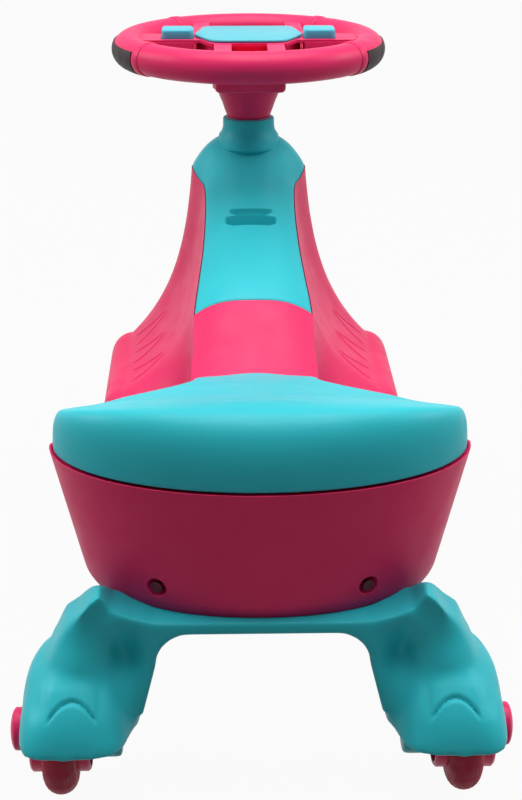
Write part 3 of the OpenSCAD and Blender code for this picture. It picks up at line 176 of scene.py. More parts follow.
def wing_top(y):
    return mix(WING_Z, NOSE_Z - WING_EDGE, smooth((y - COLUMN_Y) / NOSE_REACH))


def floor_z(y):
    return mix(TUB_FLOOR_Z, FRONT_FLOOR_Z, smooth((y - DECK_END_Y) / (SEAM_Y - DECK_END_Y)))


def neckness(y):
    """0 under the seat, 1 along the neck."""
    return smooth((y - DECK_END_Y) / (HUMP_Y - DECK_END_Y))


def flare(t):
    """Spread of the neck's flank: slow at the neck, quick towards the foot rest."""
    low = math.exp(-FLARE_POWER)
    return (math.exp(-FLARE_POWER * (1 - t)) - low) / (1 - low)


def side_share(h):
    """Width of the tub at a share of its height, with a rounded lower edge."""
    return mix(SIDE_FOOT_SHARE, 1.0, h) - SIDE_ROUND_SHARE * max(0.0, 1 - h / SIDE_ROUND_H) ** 2


TAIL_TURNS = [math.radians(90 - 3 * i) for i in range(31)]


def tail(turn, grow, share=1.0):
    """A point of the tub's rounded back in plan, grown by a gap and drawn in to a share of its width."""
    return (RIM_W / 2 + grow) * math.cos(turn) * share, RIM_Y - (RIM_REACH + grow) * math.sin(turn) * share


# Places round a half section: 0 lower edge, 3 tub rim or wing edge, 9 neck edge, 15 middle
SIDE_END, LIP_END, FLANK_END, STEP_END, HALF_END = 3.0, 4.0, 9.0, 10.0, 15.0


def side_height(k):
    i = min(2, int(k))
    return mix(SIDE_HEIGHTS[i], SIDE_HEIGHTS[i + 1], k - i)


def tub_point(y, w, k, inset):
    """Place k of the section where it is a tub."""
    top = SEAM_FLOOR_Z - inset
    if k <= SIDE_END:
        h = side_height(k)
        return w * side_share(h), mix(floor_z(y), top, h)
    if k <= LIP_END:
        u = k - SIDE_END
        return w - RIM_LIP * u, top - DECK_SINK * u ** 3
    u = 1 - (k - LIP_END) / (HALF_END - LIP_END)
    return (w - RIM_LIP) * u, top - DECK_SINK + DECK_CAMBER * (1 - u * u)


def neck_point(y, w, k, inset):
    """Place k of the section where it is a neck with foot rests."""
    half, fall = spine_half(y) - inset, spine_fall(y)
    top, wing, floor = spine_z(y) - inset, wing_top(y) - inset, floor_z(y)
    edge = min(WING_ROUND, (w - half) / 2, (wing - floor) * EDGE_SHARE)
    if k <= 1:
        return w, mix(floor, wing - edge, k)
    if k <= SIDE_END:
        a = math.radians(45 * (k - 1))
        return w - edge + edge * math.cos(a), wing - edge + edge * math.sin(a)
    if k <= FLANK_END:
        t = 1 - (k - SIDE_END) / (FLANK_END - SIDE_END)
        return mix(half, w - edge, flare(t)), mix(top - fall, wing, t)
    sunk = SUNK_H if SEAM_Y < y < COVER_END_Y else 0.0
    u = min(1.0, k - FLANK_END)
    x = (half - STEP * u) * (1 - max(0.0, k - STEP_END) / (HALF_END - STEP_END))
    return x, top - sunk * u - fall * (x / half) ** CROWN_POWER


def body_point(y, w, k, inset):
    a, b, t = tub_point(y, w, k, inset), neck_point(y, w, k, inset), neckness(y)
    return mix(a[0], b[0], t), mix(a[1], b[1], t)


# Materials

def material(name):
    """A new node material, its node tree and its Principled shader."""
    made = bpy.data.materials.new(name)
    made.use_nodes = True
    tree = made.node_tree
    shader = tree.nodes["Principled BSDF"]
    return made, tree, shader


def link(tree, source, target):
    tree.links.new(source, target)


NOISE_LOW, NOISE_HIGH = 0.3, 0.7


def noise(tree, coords, scale, detail=2.0):
    node = tree.nodes.new("ShaderNodeTexNoise")
    node.inputs["Scale"].default_value = scale
    node.inputs["Detail"].default_value = detail
    link(tree, coords, node.inputs["Vector"])
    return node.outputs["Fac"]


def remap(tree, value, low, high):
    node = tree.nodes.new("ShaderNodeMapRange")
    node.inputs["From Min"].default_value = NOISE_LOW
    node.inputs["From Max"].default_value = NOISE_HIGH
    node.inputs["To Min"].default_value = low
    node.inputs["To Max"].default_value = high
    link(tree, value, node.inputs["Value"])
    return node.outputs["Result"]


def colours(tree, value, low, high):
    """A smooth ramp between two colours."""
    node = tree.nodes.new("ShaderNodeValToRGB")
    node.color_ramp.elements[0].position = NOISE_LOW
    node.color_ramp.elements[1].position = NOISE_HIGH
    node.color_ramp.elements[0].color = (*low, 1.0)
    node.color_ramp.elements[1].color = (*high, 1.0)
    link(tree, value, node.inputs["Fac"])
    return node.outputs["Color"]


def bump(tree, height, strength, distance, below=None):
    node = tree.nodes.new("ShaderNodeBump")
    node.inputs["Strength"].default_value = strength
    node.inputs["Distance"].default_value = distance
    link(tree, height, node.inputs["Height"])
    if below is not None:
        link(tree, below, node.inputs["Normal"])
    return node.outputs["Normal"]


def shade(colour, factor):
    return tuple(c * factor for c in colour)


def surface(name):
    """A new material with coordinates that lie still on the piece."""
    made, tree, shader = material(name)
    return made, tree, shader, tree.nodes.new("ShaderNodeTexCoord").outputs["Object"]


def moulded(name, colour, rough):
    """Moulded plastic: fine spark-eroded grain, slow flow marks and faint tone changes."""
    made, tree, shader, coords = surface(name)
    tone = noise(tree, coords, scale=9.0, detail=3.0)
    gloss = noise(tree, coords, scale=60.0, detail=4.0)
    flow = bump(tree, noise(tree, coords, scale=26.0), strength=0.05, distance=0.002)
    grain = bump(tree, noise(tree, coords, scale=1900.0), strength=0.12, distance=0.0002, below=flow)
    link(tree, colours(tree, tone, shade(colour, 0.94), shade(colour, 1.04)), shader.inputs["Base Color"])
    link(tree, remap(tree, gloss, rough - 0.05, rough + 0.06), shader.inputs["Roughness"])
    link(tree, grain, shader.inputs["Normal"])
    shader.inputs["Specular IOR Level"].default_value = 0.22
    return made


def rubber(name, colour):
    """Soft matt rubber with a coarser grain."""
    made, tree, shader, coords = surface(name)
    tone = noise(tree, coords, scale=30.0, detail=4.0)
    gloss = noise(tree, coords, scale=120.0, detail=3.0)
    grain = bump(tree, noise(tree, coords, scale=1300.0, detail=3.0), strength=0.25, distance=0.0003)
    link(tree, colours(tree, tone, shade(colour, 0.8), shade(colour, 1.25)), shader.inputs["Base Color"])
    link(tree, remap(tree, gloss, 0.55, 0.75), shader.inputs["Roughness"])
    link(tree, grain, shader.inputs["Normal"])
    shader.inputs["Specular IOR Level"].default_value = 0.35
    return made


def metal(name, colour, rough):
    """Drawn steel: fine scratches along the piece."""
    made, tree, shader, coords = surface(name)
    stretch = tree.nodes.new("ShaderNodeMapping")
    stretch.inputs["Scale"].default_value = (40.0, 900.0, 900.0)
    link(tree, coords, stretch.inputs["Vector"])
    lines = noise(tree, stretch.outputs["Vector"], scale=1.0, detail=3.0)
    link(tree, colours(tree, lines, shade(colour, 0.85), shade(colour, 1.1)), shader.inputs["Base Color"])
    link(tree, remap(tree, lines, rough - 0.08, rough + 0.1), shader.inputs["Roughness"])
    link(tree, bump(tree, lines, strength=0.1, distance=0.0002), shader.inputs["Normal"])
    shader.inputs["Metallic"].default_value = 1.0
    return made


PINK = (0.84, 0.026, 0.140)
TEAL = (0.026, 0.520, 0.595)
LOOKS = {
    "body_pink": moulded("body_pink", PINK, 0.46),
    "pan_pink": moulded("pan_pink", shade(PINK, 0.75), 0.6),
    "teal": moulded("teal", TEAL, 0.44),
    "panel_teal": moulded("panel_teal", (0.10, 0.50, 0.60), 0.36),
    "key_teal": moulded("key_teal", (0.08, 0.52, 0.66), 0.36),
    "bush_white": moulded("bush_white", (0.80, 0.80, 0.77), 0.5),
    "steel": metal("steel", (0.60, 0.61, 0.63), 0.32),
    "washer_steel": metal("washer_steel", (0.68, 0.69, 0.70), 0.3),
    "screw_steel": metal("screw_steel", (0.40, 0.41, 0.43), 0.38),
    "spring_steel": metal("spring_steel", (0.55, 0.56, 0.58), 0.3),
    "hub_pink": moulded("hub_pink", PINK, 0.4),
    "tyre_red": rubber("tyre_red", (0.36, 0.008, 0.035)),
    "wheel_pink": moulded("wheel_pink", PINK, 0.4),
    "grip_dark": rubber("grip_dark", (0.035, 0.022, 0.026)),
    "cell_metal": metal("cell_metal", (0.10, 0.16, 0.28), 0.35),
    "speaker_black": moulded("speaker_black", (0.02, 0.02, 0.022), 0.6),
    "board_green": moulded("board_green", (0.02, 0.19, 0.07), 0.35),
}
# Dark red steel for the two tub screw heads: painted shade that stands for the shadow deep in their pockets
SCREW_PAINTED_SHADE = metal("screw_painted_shade", (0.14, 0.03, 0.045), 0.5)


def dress_nodes():
    """Every carried-over node takes the look of its slot; the two screws that show get painted shade: dark
    red heads for the shadow in their pockets.
    """
    slots = {p["node"]: p["material_slot"] for p in frame["record"]["subparts"]}
    for name, obj in nodes.items():
        obj.data.materials.clear()
        obj.data.materials.append(SCREW_PAINTED_SHADE if name == "tub_screws" else LOOKS[slots[name]])


# Mesh helpers

MERGE_GAP, THIN_GAP = 1e-6, 1e-7
SHARP_ANGLE = math.radians(38)


def new_object(name, verts, faces):
    """Object from points and faces, with doubled points merged and its faces turned outwards."""
    mesh = bpy.data.meshes.new(name)
    mesh.from_pydata(verts, [], faces)
    work = bmesh.new()
    work.from_mesh(mesh)
    bmesh.ops.remove_doubles(work, verts=work.verts, dist=MERGE_GAP)
    bmesh.ops.dissolve_degenerate(work, edges=work.edges, dist=THIN_GAP)
    bmesh.ops.recalc_face_normals(work, faces=work.faces)
    work.to_mesh(mesh)
    work.free()
    obj = bpy.data.objects.new(name, mesh)
    bpy.context.scene.collection.objects.link(obj)
    return obj


def settle(obj):
    """Replaces an object's mesh by what its modifiers make of it."""
    view = bpy.context.evaluated_depsgraph_get()
    mesh = bpy.data.meshes.new_from_object(obj.evaluated_get(view))
    mesh.name = obj.name
    obj.modifiers.clear()
    obj.data = mesh


def join_cut(obj, tool, operation, solver="MANIFOLD"):
    """Joins a closed mesh to an object or cuts it off, and removes the tool."""
    change = obj.modifiers.new("change", "BOOLEAN")
    change.operation = operation
    change.solver = solver
    change.object = tool
    settle(obj)
    bpy.data.objects.remove(tool)


def cut(obj, *tools, solver="MANIFOLD"):
    join_cut(obj, joined("tools", tools), "DIFFERENCE", solver)


def add(obj, *tools, solver="MANIFOLD"):
    join_cut(obj, joined("tools", tools), "UNION", solver)


def joined(name, pieces):
    """One object that holds several closed meshes side by side."""
    work = bmesh.new()
    for piece in pieces:
        work.from_mesh(piece.data)
        bpy.data.objects.remove(piece)
    mesh = bpy.data.meshes.new(name)
    work.to_mesh(mesh)
    work.free()
    obj = bpy.data.objects.new(name, mesh)
    bpy.context.scene.collection.objects.link(obj)
    return obj


def turned(obj, direction, at):
    """Moves a piece that was made round the Z axis to a place and a direction."""
    turn = Vector(direction).to_track_quat("Z", "Y").to_matrix().to_4x4()
    obj.data.transform(Matrix.Translation(at) @ turn)
    return obj


def shown(obj, slot, body, *replaced):
    """Gives a finished piece its look and its body, and hides the nodes that it stands for."""
    obj.data.shade_smooth()
    obj.data.set_sharp_from_angle(angle=SHARP_ANGLE)
    obj.data.materials.clear()
    obj.data.materials.append(LOOKS[slot])
    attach(obj, body)
    if replaced:
        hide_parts(*replaced)


def grid_faces(rows, columns, start=0, ring=False):
    """Faces between rows of points; a ring's rows close on themselves."""
    faces = []
    for i in range(rows - 1):
        for j in range(columns if ring else columns - 1):
            a, b = start + i * columns + j, start + i * columns + (j + 1) % columns
            faces.append((a, b, b + columns, a + columns))
    return faces


def tube_faces(rows, columns):
    """Faces of a closed tube: rings of points with a cap at both ends."""
    last = rows * columns
    caps = [tuple(range(columns)), tuple(range(last - 1, last - columns - 1, -1))]
    return grid_faces(rows, columns, ring=True) + caps


def shell_faces(n, m, ends):
    """An outer and an inner grid of n rows, joined along both sides, and along the end rows where asked."""
    faces = grid_faces(n, m) + grid_faces(n, m, n * m)
    for i in range(n - 1):
        for j in (0, m - 1):
            a, b = i * m + j, (i + 1) * m + j
            faces.append((a, b, n * m + b, n * m + a))
    for j in range(m - 1 if ends else 0):
        for i in (0, n - 1):
            a = i * m + j
            faces.append((a, a + 1, n * m + a + 1, n * m + a))
    return faces


def revolved(name, outline, centre, axis="Z", steps=96):
    """Solid ring or disc from a closed outline of (radius, place along the axis) points."""
    verts = []
    for i in range(steps):
        a = 2 * math.pi * i / steps
        for r, h in outline:
            p = (r * math.cos(a), r * math.sin(a), h)
            p = p if axis == "Z" else (h, p[0], p[1])
            verts.append(tuple(c + d for c, d in zip(centre, p)))
    n = len(outline)
    faces = []
    for i in range(steps):
        for j in range(n):
            a, b = i * n + j, i * n + (j + 1) % n
            c, d = ((i + 1) % steps) * n + j, ((i + 1) % steps) * n + (j + 1) % n
            faces.append((a, b, d, c))
    return new_object(name, verts, faces)


def rod(name, r, low, high, centre, axis="Z", steps=96):
    return revolved(name, [(0, low), (r, low), (r, high), (0, high)], centre, axis, steps)


def prism(name, outline, low, high):
    """Outline of (x, z) points, drawn out along Y between two places from the rear axle."""
    verts = [place(x, y, z) for y in (low, high) for x, z in outline]
    return new_object(name, verts, tube_faces(2, len(outline)))


def rectangle(x0, x1, y0, y1):
    return [(x0, y0), (x1, y0), (x1, y1), (x0, y1)]


def block(name, low, high):
    return prism(name, rectangle(low[0], high[0], low[2], high[2]), low[1], high[1])


def spread(*stops):
    """Places from stop to stop: (start, parts), ..., end."""
    places = []
    for (a, parts), following in zip(stops[:-1], stops[1:]):
        b = following[0] if isinstance(following, tuple) else following
        places += [a + (b - a) * i / parts for i in range(parts)]
    return places + [stops[-1]]


# Two-step finger recess in the neck cover

RECESS_SHARE, RECESS_W, RECESS_STEP = 0.52, 0.040, 0.011
RECESS_H, RECESS_UPPER_H = 0.0078, 0.0052
RECESS_UPPER_FROM, RECESS_UPPER_LESS = 0.0016, 0.0024
RECESS_Y = mix(SEAM_Y, COLUMN_Y, RECESS_SHARE)
POCKET_CORNER, POCKET_CORNER_FROM, POCKET_LIP_SHARE = 0.004, 0.72, 0.45
POCKET_SIDE_SOFT, POCKET_END_SOFT = 0.0012, 0.0011


def band(value, low, high, soft):
    """1 between two places, 0 outside, with soft edges."""
    return smooth((value - low) / soft + 0.5) * smooth((high - value) / soft + 0.5)


def pocket(x, y, low, high, half, depth):
    """Depth of one step: shallow at its rear lip, deepest at its front wall."""
    corner = POCKET_CORNER * max(0.0, abs(x) / half - POCKET_CORNER_FROM) / (1 - POCKET_CORNER_FROM)
    share = min(1.0, max(0.0, (y - low - corner) / (high - low)))
    inside = band(x, -half, half, POCKET_SIDE_SOFT) * band(y, low + corner, high, POCKET_END_SOFT)
    return depth * mix(POCKET_LIP_SHARE, 1.0, share) * inside


def recess(x, y):
    """How deep the recess is at a place of the cover."""
    half, upper_end = RECESS_W / 2, RECESS_Y + RECESS_STEP - RECESS_UPPER_LESS
    lower = pocket(x, y, RECESS_Y - RECESS_STEP, RECESS_Y, half, RECESS_H)
    return lower + pocket(x, y, RECESS_Y + RECESS_UPPER_FROM, upper_end, half - WALL, RECESS_UPPER_H)


# Body shell

SECTION = spread(
    (0.0, 6), (1.0, 4), (2.0, 4), (SIDE_END, 8), (LIP_END, 30), (FLANK_END, 4), (STEP_END, 12), HALF_END
)
NOSE_ROWS, NOSE_CROWDING = 30, 1.7


def body_stations(inset):
    """Section places: (place, half width, place on the outside)."""
    rows = []
    for turn in TAIL_TURNS[:-1]:
        half, y = tail(turn, -inset)
        rows.append((y, half, tail(turn, 0.0)[1]))
    run = spread(
        (RIM_Y, 60), (SEAM_Y - STEP, 1), (SEAM_Y + STEP, 60), (COVER_END_Y - STEP, 1), COVER_END_Y + STEP
    )
    rows += [(y, plan_half(y) - inset, y) for y in run]
    first = (COVER_END_Y - NOSE_START_Y) / NOSE_L
    for i in range(1, NOSE_ROWS + 1):
        u = NOSE_END - (NOSE_END - first) * (1 - i / NOSE_ROWS) ** NOSE_CROWDING
        y, outside = (NOSE_START_Y + length * u for length in (NOSE_L - inset, NOSE_L))
        rows.append((y, (WING_W / 2 - inset) * nose_taper(u), outside))
    return rows


def body_row(station, inset):
    """Right half of a section, from its lower edge to the middle."""
    y, w, outside = station
    right = []
    for k in SECTION:
        x, z = body_point(outside, w, k, inset)
        if k <= SIDE_END:
            share = side_share(side_height(k))
        else:
            share = 1 - RIM_LIP / RIM_REACH * min(1.0, k - SIDE_END)
        right.append((x, RIM_Y - (RIM_Y - y) * share if outside < RIM_Y else y, z))
    return right


def body_skin(inset):
    rows = [body_row(s, inset) for s in body_stations(inset)]
    rows.append([(0.0, y, z) for x, y, z in rows[-1]])
    return [[(-x, y, z) for x, y, z in row] + [(x, y, z) for x, y, z in row[-2::-1]] for row in rows]


# Screw pockets low on the back of the tub: outlines of (radius, place out of the wall)
SCREW_ANGLE, SCREW_RISE, SCREW_DROOP = math.radians(55.5), 0.018, -0.196
SCREW_CUP = [(0, -0.0125), (0.0082, -0.0125), (0.0105, -0.001), (0, -0.001)]
SCREW_POCKET = [
    (0, -0.0090), (0.0046, -0.0090), (0.0050, -0.0042), (0.0066, -0.0008), (0.0088, 0.0040), (0, 0.0040)
]


def at_tub_screws(name, outline):
    """A round piece at both screws, pointing straight out of the tub's wall."""
    x, y = tail(SCREW_ANGLE, 0.0, side_share(SCREW_RISE / (SEAM_FLOOR_Z - TUB_FLOOR_Z)))
    turn = math.atan2(RIM_REACH * math.cos(SCREW_ANGLE), RIM_W / 2 * math.sin(SCREW_ANGLE))
    pieces = []
    for side in (-1, 1):
        out = (side * math.sin(turn), -math.cos(turn), SCREW_DROOP)
        piece = revolved(name, outline, (0, 0, 0), steps=32)
        pieces.append(turned(piece, out, place(side * x, y, TUB_FLOOR_Z + SCREW_RISE)))
    return pieces


# Openings under the cover: hole for the column, and room for the recess
HOLE_R, HOLE_LOW_Z, HOLE_HIGH_Z = 0.0222, 0.25, 0.36
ROOM_HALF, ROOM_BACK, ROOM_FRONT, ROOM_LOW_Z, ROOM_HIGH_Z = 0.023, 0.015, 0.013, 0.26, 0.34


def make_body():
    outer, inner = body_skin(0.0), body_skin(WALL)
    verts = [place(*p) for row in outer + inner for p in row]
    body = new_object("body", verts, shell_faces(len(outer), len(outer[0]), ends=False))
    add(body, *at_tub_screws("cup", SCREW_CUP), solver="EXACT")
    hole = rod("hole", HOLE_R, HOLE_LOW_Z, HOLE_HIGH_Z, place(0, COLUMN_Y, 0))
    low = (-ROOM_HALF, RECESS_Y - ROOM_BACK, ROOM_LOW_Z)
    high = (ROOM_HALF, RECESS_Y + ROOM_FRONT, ROOM_HIGH_Z)
    cut(body, hole, block("room", low, high), *at_tub_screws("pocket", SCREW_POCKET), solver="EXACT")
    shown(body, "body_pink", "chassis", "body_shell")


# Seat

SEAT_TAIL_Y = RIM_Y - RIM_REACH
SEAT_MID_SHARE, SEAT_TIP_SHARE, SEAT_INSET_SHARE = 0.47, 0.3, 0.03
SEAT_MID_Y = mix(SEAT_TAIL_Y, SEAT_TIP_Y, SEAT_MID_SHARE)
SEAT_RUN_END = SEAT_TIP_Y - SEAT_TIP_W * SEAT_TIP_SHARE
SEAT_SHARES = (
    (0, 0.78), (0.02, 0.88), (0.045, 0.95), (0.08, 0.99), (0.11, 1), (0.16, 0.968), (0.21, 0.905),
    (0.26, 0.825), (0.31, 0.745), (0.4, 0.585), (0.5, 0.41), (0.6, 0.285), (0.7, 0.175), (0.8, 0.065),
    (0.9, -0.065), (1, -0.19)
)
SEAT_EDGE, SEAT_EDGE_POWER, SEAT_TAIL = 0.06, 2 / 2.7, 3.0
SEAT_EDGE_RINGS, SEAT_TOP_RINGS = 12, 26
SEAT_ROWS = [(mix(SEAT_TAIL_Y, SEAT_TIP_Y, a), SEAM_FLOOR_Z + SEAT_H * b) for a, b in SEAT_SHARES]


def seat_top(x, y):
    return curve(SEAT_ROWS, y) - SEAT_FALL * (x / (RIM_W / 2)) ** 2


def seat_half(y):
    t = smooth((y - RIM_Y) / (SEAT_RUN_END - RIM_Y))
    return min(plan_half(y) - RIM_LIP, mix(RIM_W / 2 - RIM_LIP, SEAT_TIP_W / 2, t))


def seat_outline():
    """The seat's edge in plan, once round."""
    side = [tail(turn, -RIM_LIP) for turn in TAIL_TURNS]
    side += [(seat_half(y), y) for y in spread((RIM_Y, 40), SEAT_RUN_END)[1:-1]]
    for i in range(16):
        a = math.radians(6 * i)
        y = SEAT_RUN_END + (SEAT_TIP_Y - SEAT_RUN_END) * math.sin(a)
        side.append((SEAT_TIP_W / 2 * math.cos(a), y))
    return side + [(-x, y) for x, y in side[-2:0:-1]]


def seat_share(p, share):
    """Share of the way out from the middle: the rounded edge grows wider towards the tail."""
    wide = 1 + SEAT_TAIL * max(0.0, (RIM_Y - p[1]) / RIM_REACH) ** 2
    if share < 1 - SEAT_EDGE:
        return share * (1 - SEAT_EDGE * wide) / (1 - SEAT_EDGE)
    return 1 - (1 - share) * wide


def seat_point(p, share, h, inset):
    x, y = p[0] * share, mix(SEAT_MID_Y, p[1], share)
    low = mix(SEAM_FLOOR_Z, crown_z(p[0], p[1]), neckness(p[1])) + SEAT_LIFT
    return place(x, y, mix(low, max(seat_top(x, y) - inset, low), h))


def seat_rings():
    """Rings of the seat from its edge to its middle: (share of the way out, share of the height)."""
    rings = []
    for i in range(SEAT_EDGE_RINGS):
        a = math.radians(90 * i / SEAT_EDGE_RINGS)
        rings.append((1 - SEAT_EDGE * (1 - math.cos(a) ** SEAT_EDGE_POWER), math.sin(a) ** SEAT_EDGE_POWER))
    return rings + [((1 - SEAT_EDGE) * (1 - i / SEAT_TOP_RINGS), 1.0) for i in range(SEAT_TOP_RINGS + 1)]


def make_seat():
    outline, rings = seat_outline(), seat_rings()
    m = len(outline)
    verts, faces = [], []
    for inset, less in ((0.0, 0.0), (WALL, SEAT_INSET_SHARE)):
        start = len(verts)
        for share, h in rings:
            verts += [seat_point(p, max(0.0, seat_share(p, share) - less), h, inset) for p in outline]
        faces += grid_faces(len(rings), m, start, ring=True)
    inside = len(rings) * m
    faces += [(j, (j + 1) % m, inside + (j + 1) % m, inside + j) for j in range(m)]
    shown(new_object("seat_moulding", verts, faces), "teal", "chassis", "seat")


# Neck cover

COVER_ROUND, COVER_ROUND_H, COVER_END, COVER_SIDE = 0.0016, 0.0008, 0.002, 0.95
COVER_FINE_BACK, COVER_FINE_FRONT = 0.014, 0.012
BORE_R, BORE_LAP, BORE_LOW_Z, BORE_HIGH_Z = COLLAR_R - WALL, 0.001, 0.30, 0.37
# Collar outline as (out from its wall, up): its flared foot from the shoulder, its rounded edge from its top
COLLAR_FOOT = (
    (0.0045, -0.55 * COLLAR_ROOT), (0.0035, -0.001), (0.0018, 0.0012),
    (0.0008, 0.0032), (0.0002, 0.0058), (0, 0.008)
)
COLLAR_EDGE = ((0, -0.0016), (-0.0005, -0.0005), (-0.0016, 0))


def make_cover():
    places = spread(
        (SEAM_Y + FIT_GAP + STEP, 3), (SEAM_Y + COVER_END, 40), (RECESS_Y - COVER_FINE_BACK, 44),
        (RECESS_Y + COVER_FINE_FRONT, 40), (COVER_END_Y - COVER_END, 3), COVER_END_Y - FIT_GAP - STEP
    )
    across = spread((-1.0, 5), (-COVER_SIDE, 90), (COVER_SIDE, 5), 1.0)
    verts = []
    for inset in (0.0, WALL):
        for y in places:
            half = spine_half(y) - FIT_GAP - STEP
            for u in across:
                x = half * u
                near = min((1 - abs(u)) * half, y - places[0], places[-1] - y)
                edge = COVER_ROUND_H * max(0.0, 1 - near / COVER_ROUND) ** 2 if inset == 0 else 0.0
                verts.append(place(x, y, crown_z(x, y) - inset - edge - recess(x, y)))
    cover = new_object("cover", verts, shell_faces(len(places), len(across), ends=True))
    outline = [(BORE_R - BORE_LAP, SHOULDER_Z - COLLAR_ROOT)]
    outline += [(COLLAR_R + out, SHOULDER_Z + up) for out, up in COLLAR_FOOT]
    outline += [(COLLAR_R + out, COLLAR_Z + up) for out, up in COLLAR_EDGE]
    outline.append((BORE_R - BORE_LAP, COLLAR_Z))
    add(cover, revolved("collar", outline, place(0, COLUMN_Y, 0)))
    cut(cover, rod("bore", BORE_R, BORE_LOW_Z, BORE_HIGH_Z, place(0, COLUMN_Y, 0)))
    shown(cover, "teal", "chassis", "neck_cover")


# Rear cradle

WHEEL_X, WELL_HALF, FENDER_WALL = 0.132, 0.0209, 0.003
DOME_R, DOME_W, SKIRT_Z = 0.064, 0.064, 0.054
DOME_X = WHEEL_X + WELL_HALF + FENDER_WALL
DOME_IN_X, TAPER_X = DOME_X - DOME_W, 0.0795
INNER_FACE_X = WHEEL_X - WELL_HALF
INNER_WALL_X = INNER_FACE_X - FENDER_WALL
ARCH_Z, BEAM_LIP_Z, BEAM_BACK, BEAM_L = 0.123, 0.152, 0.027, 0.087
LEG_X, LEG_R, LEG_L, FOOT_RISE = 0.0685, 0.022, 0.067, 0.011
SHOULDER_R, SHOULDER_BACK, BOSS_R, NUT_ROOM_R = 0.038, 0.020, 0.019, 0.0078
CAP_FOOT_X, NUT_ROOM_X, KEEP_END_X = DOME_X + FENDER_WALL / 2, 0.08, 0.17
INNER_WELL_WALL, LEG_LAP, SHOULDER_LAP, BEAM_LAP = 0.014, 0.004, 0.002, 0.001
BELOW_X, BELOW_HALF, BELOW_REACH = 0.08, 0.2, 0.1
TUB_FORM_BEND, TUB_FORM_L = 0.14, 0.06
FENDER_STEPS, FENDER_PARTS, DOME_PARTS, FULL_FROM, FULL_RUN = 128, 50, 48, 25, 55
AXLE_AT = place(0, 0, WHEEL_R)
DOME_SHARES = (
    (0, 0.42), (0.03, 0.57), (0.075, 0.7), (0.14, 0.81), (0.22, 0.91), (0.32, 0.97), (0.43, 1), (0.6, 1),
    (0.74, 0.975), (0.86, 0.92), (0.95, 0.84), (1, 0.76), (1.07, 0.64), (1.13, 0.51), (1.195, 0.38)
)
FULL_SHARES = (
    (0, 0.72), (0.03, 0.83), (0.075, 0.91), (0.14, 0.96), (0.22, 0.99), (0.32, 1), (0.6, 1),
    (0.74, 0.985), (0.86, 0.95), (0.95, 0.9), (1, 0.84), (1.07, 0.7), (1.13, 0.53), (1.195, 0.38)
)
ARCH_SHARES = (
    (0.32, 0.3), (0.44, 0.32), (0.54, 0.44), (0.616, 0.6), (0.645, 0.85), (0.66, 1), (0.7, 0.84),
    (0.731, 0.59), (0.763, 0.36), (0.815, 0.13), (0.834, -0.1), (0.853, -0.33), (0.872, -0.5), (0.885, -0.68)
)


def fender_skin(side):
    """Outside of a fender: rounded over its top, fuller towards its skirt."""
    steps, parts = FENDER_STEPS, FENDER_PARTS
    verts = []
    for i in range(steps):
        a = 2 * math.pi * i / steps
        full = smooth((abs(math.degrees(a) - 90) - FULL_FROM) / FULL_RUN) if a < math.pi else 1.0
        for j in range(parts + 1):
            x = mix(TAPER_X, DOME_X, j / parts)
            share = (DOME_X - x) / DOME_W
            r = DOME_R * mix(curve(DOME_SHARES, share), curve(FULL_SHARES, share), full)
            verts.append(place(side * x, r * math.cos(a), WHEEL_R + r * math.sin(a)))
    m = parts + 1
    faces = grid_faces(steps, m)
    faces += [((steps - 1) * m + j, (steps - 1) * m + j + 1, j + 1, j) for j in range(parts)]
    faces += [tuple(i * m + j for i in range(steps)) for j in (0, parts)]
    return new_object("fender", verts, faces)


def dome(name, side, low, high, inset, core=0.0):
    """Fender shape about the rear axle between two places across the car, round a core that stays."""
    outline = [(core, side * low)]
    for i in range(DOME_PARTS + 1):
        x = mix(low, high, i / DOME_PARTS)
        share = (DOME_X - inset - x) / DOME_W
        outline.append((DOME_R * curve(DOME_SHARES, share) - inset, side * x))
    outline.append((core, side * high))
    return revolved(name, outline, AXLE_AT, axis="X", steps=FENDER_STEPS)


def tub_form():
    """Room that the tub fills, with its gap."""
    rings = []
    for h in spread((0.0, 10), (TUB_FORM_BEND, 16), 1.0):
        share = side_share(h)
        side = [tail(turn, FIT_GAP, share) for turn in TAIL_TURNS]
        side += [((plan_half(y) + FIT_GAP) * share, y) for y in spread((RIM_Y, 10), RIM_Y + TUB_FORM_L)[1:]]
        z = mix(TUB_FLOOR_Z, SEAM_FLOOR_Z, h) if h > 0 else TUB_FLOOR_Z - FIT_GAP
        rings.append([place(x, y, z) for x, y in side] + [place(-x, y, z) for x, y in side[::-1]])
    return new_object("tub_form", [p for ring in rings for p in ring], tube_faces(len(rings), len(rings[0])))


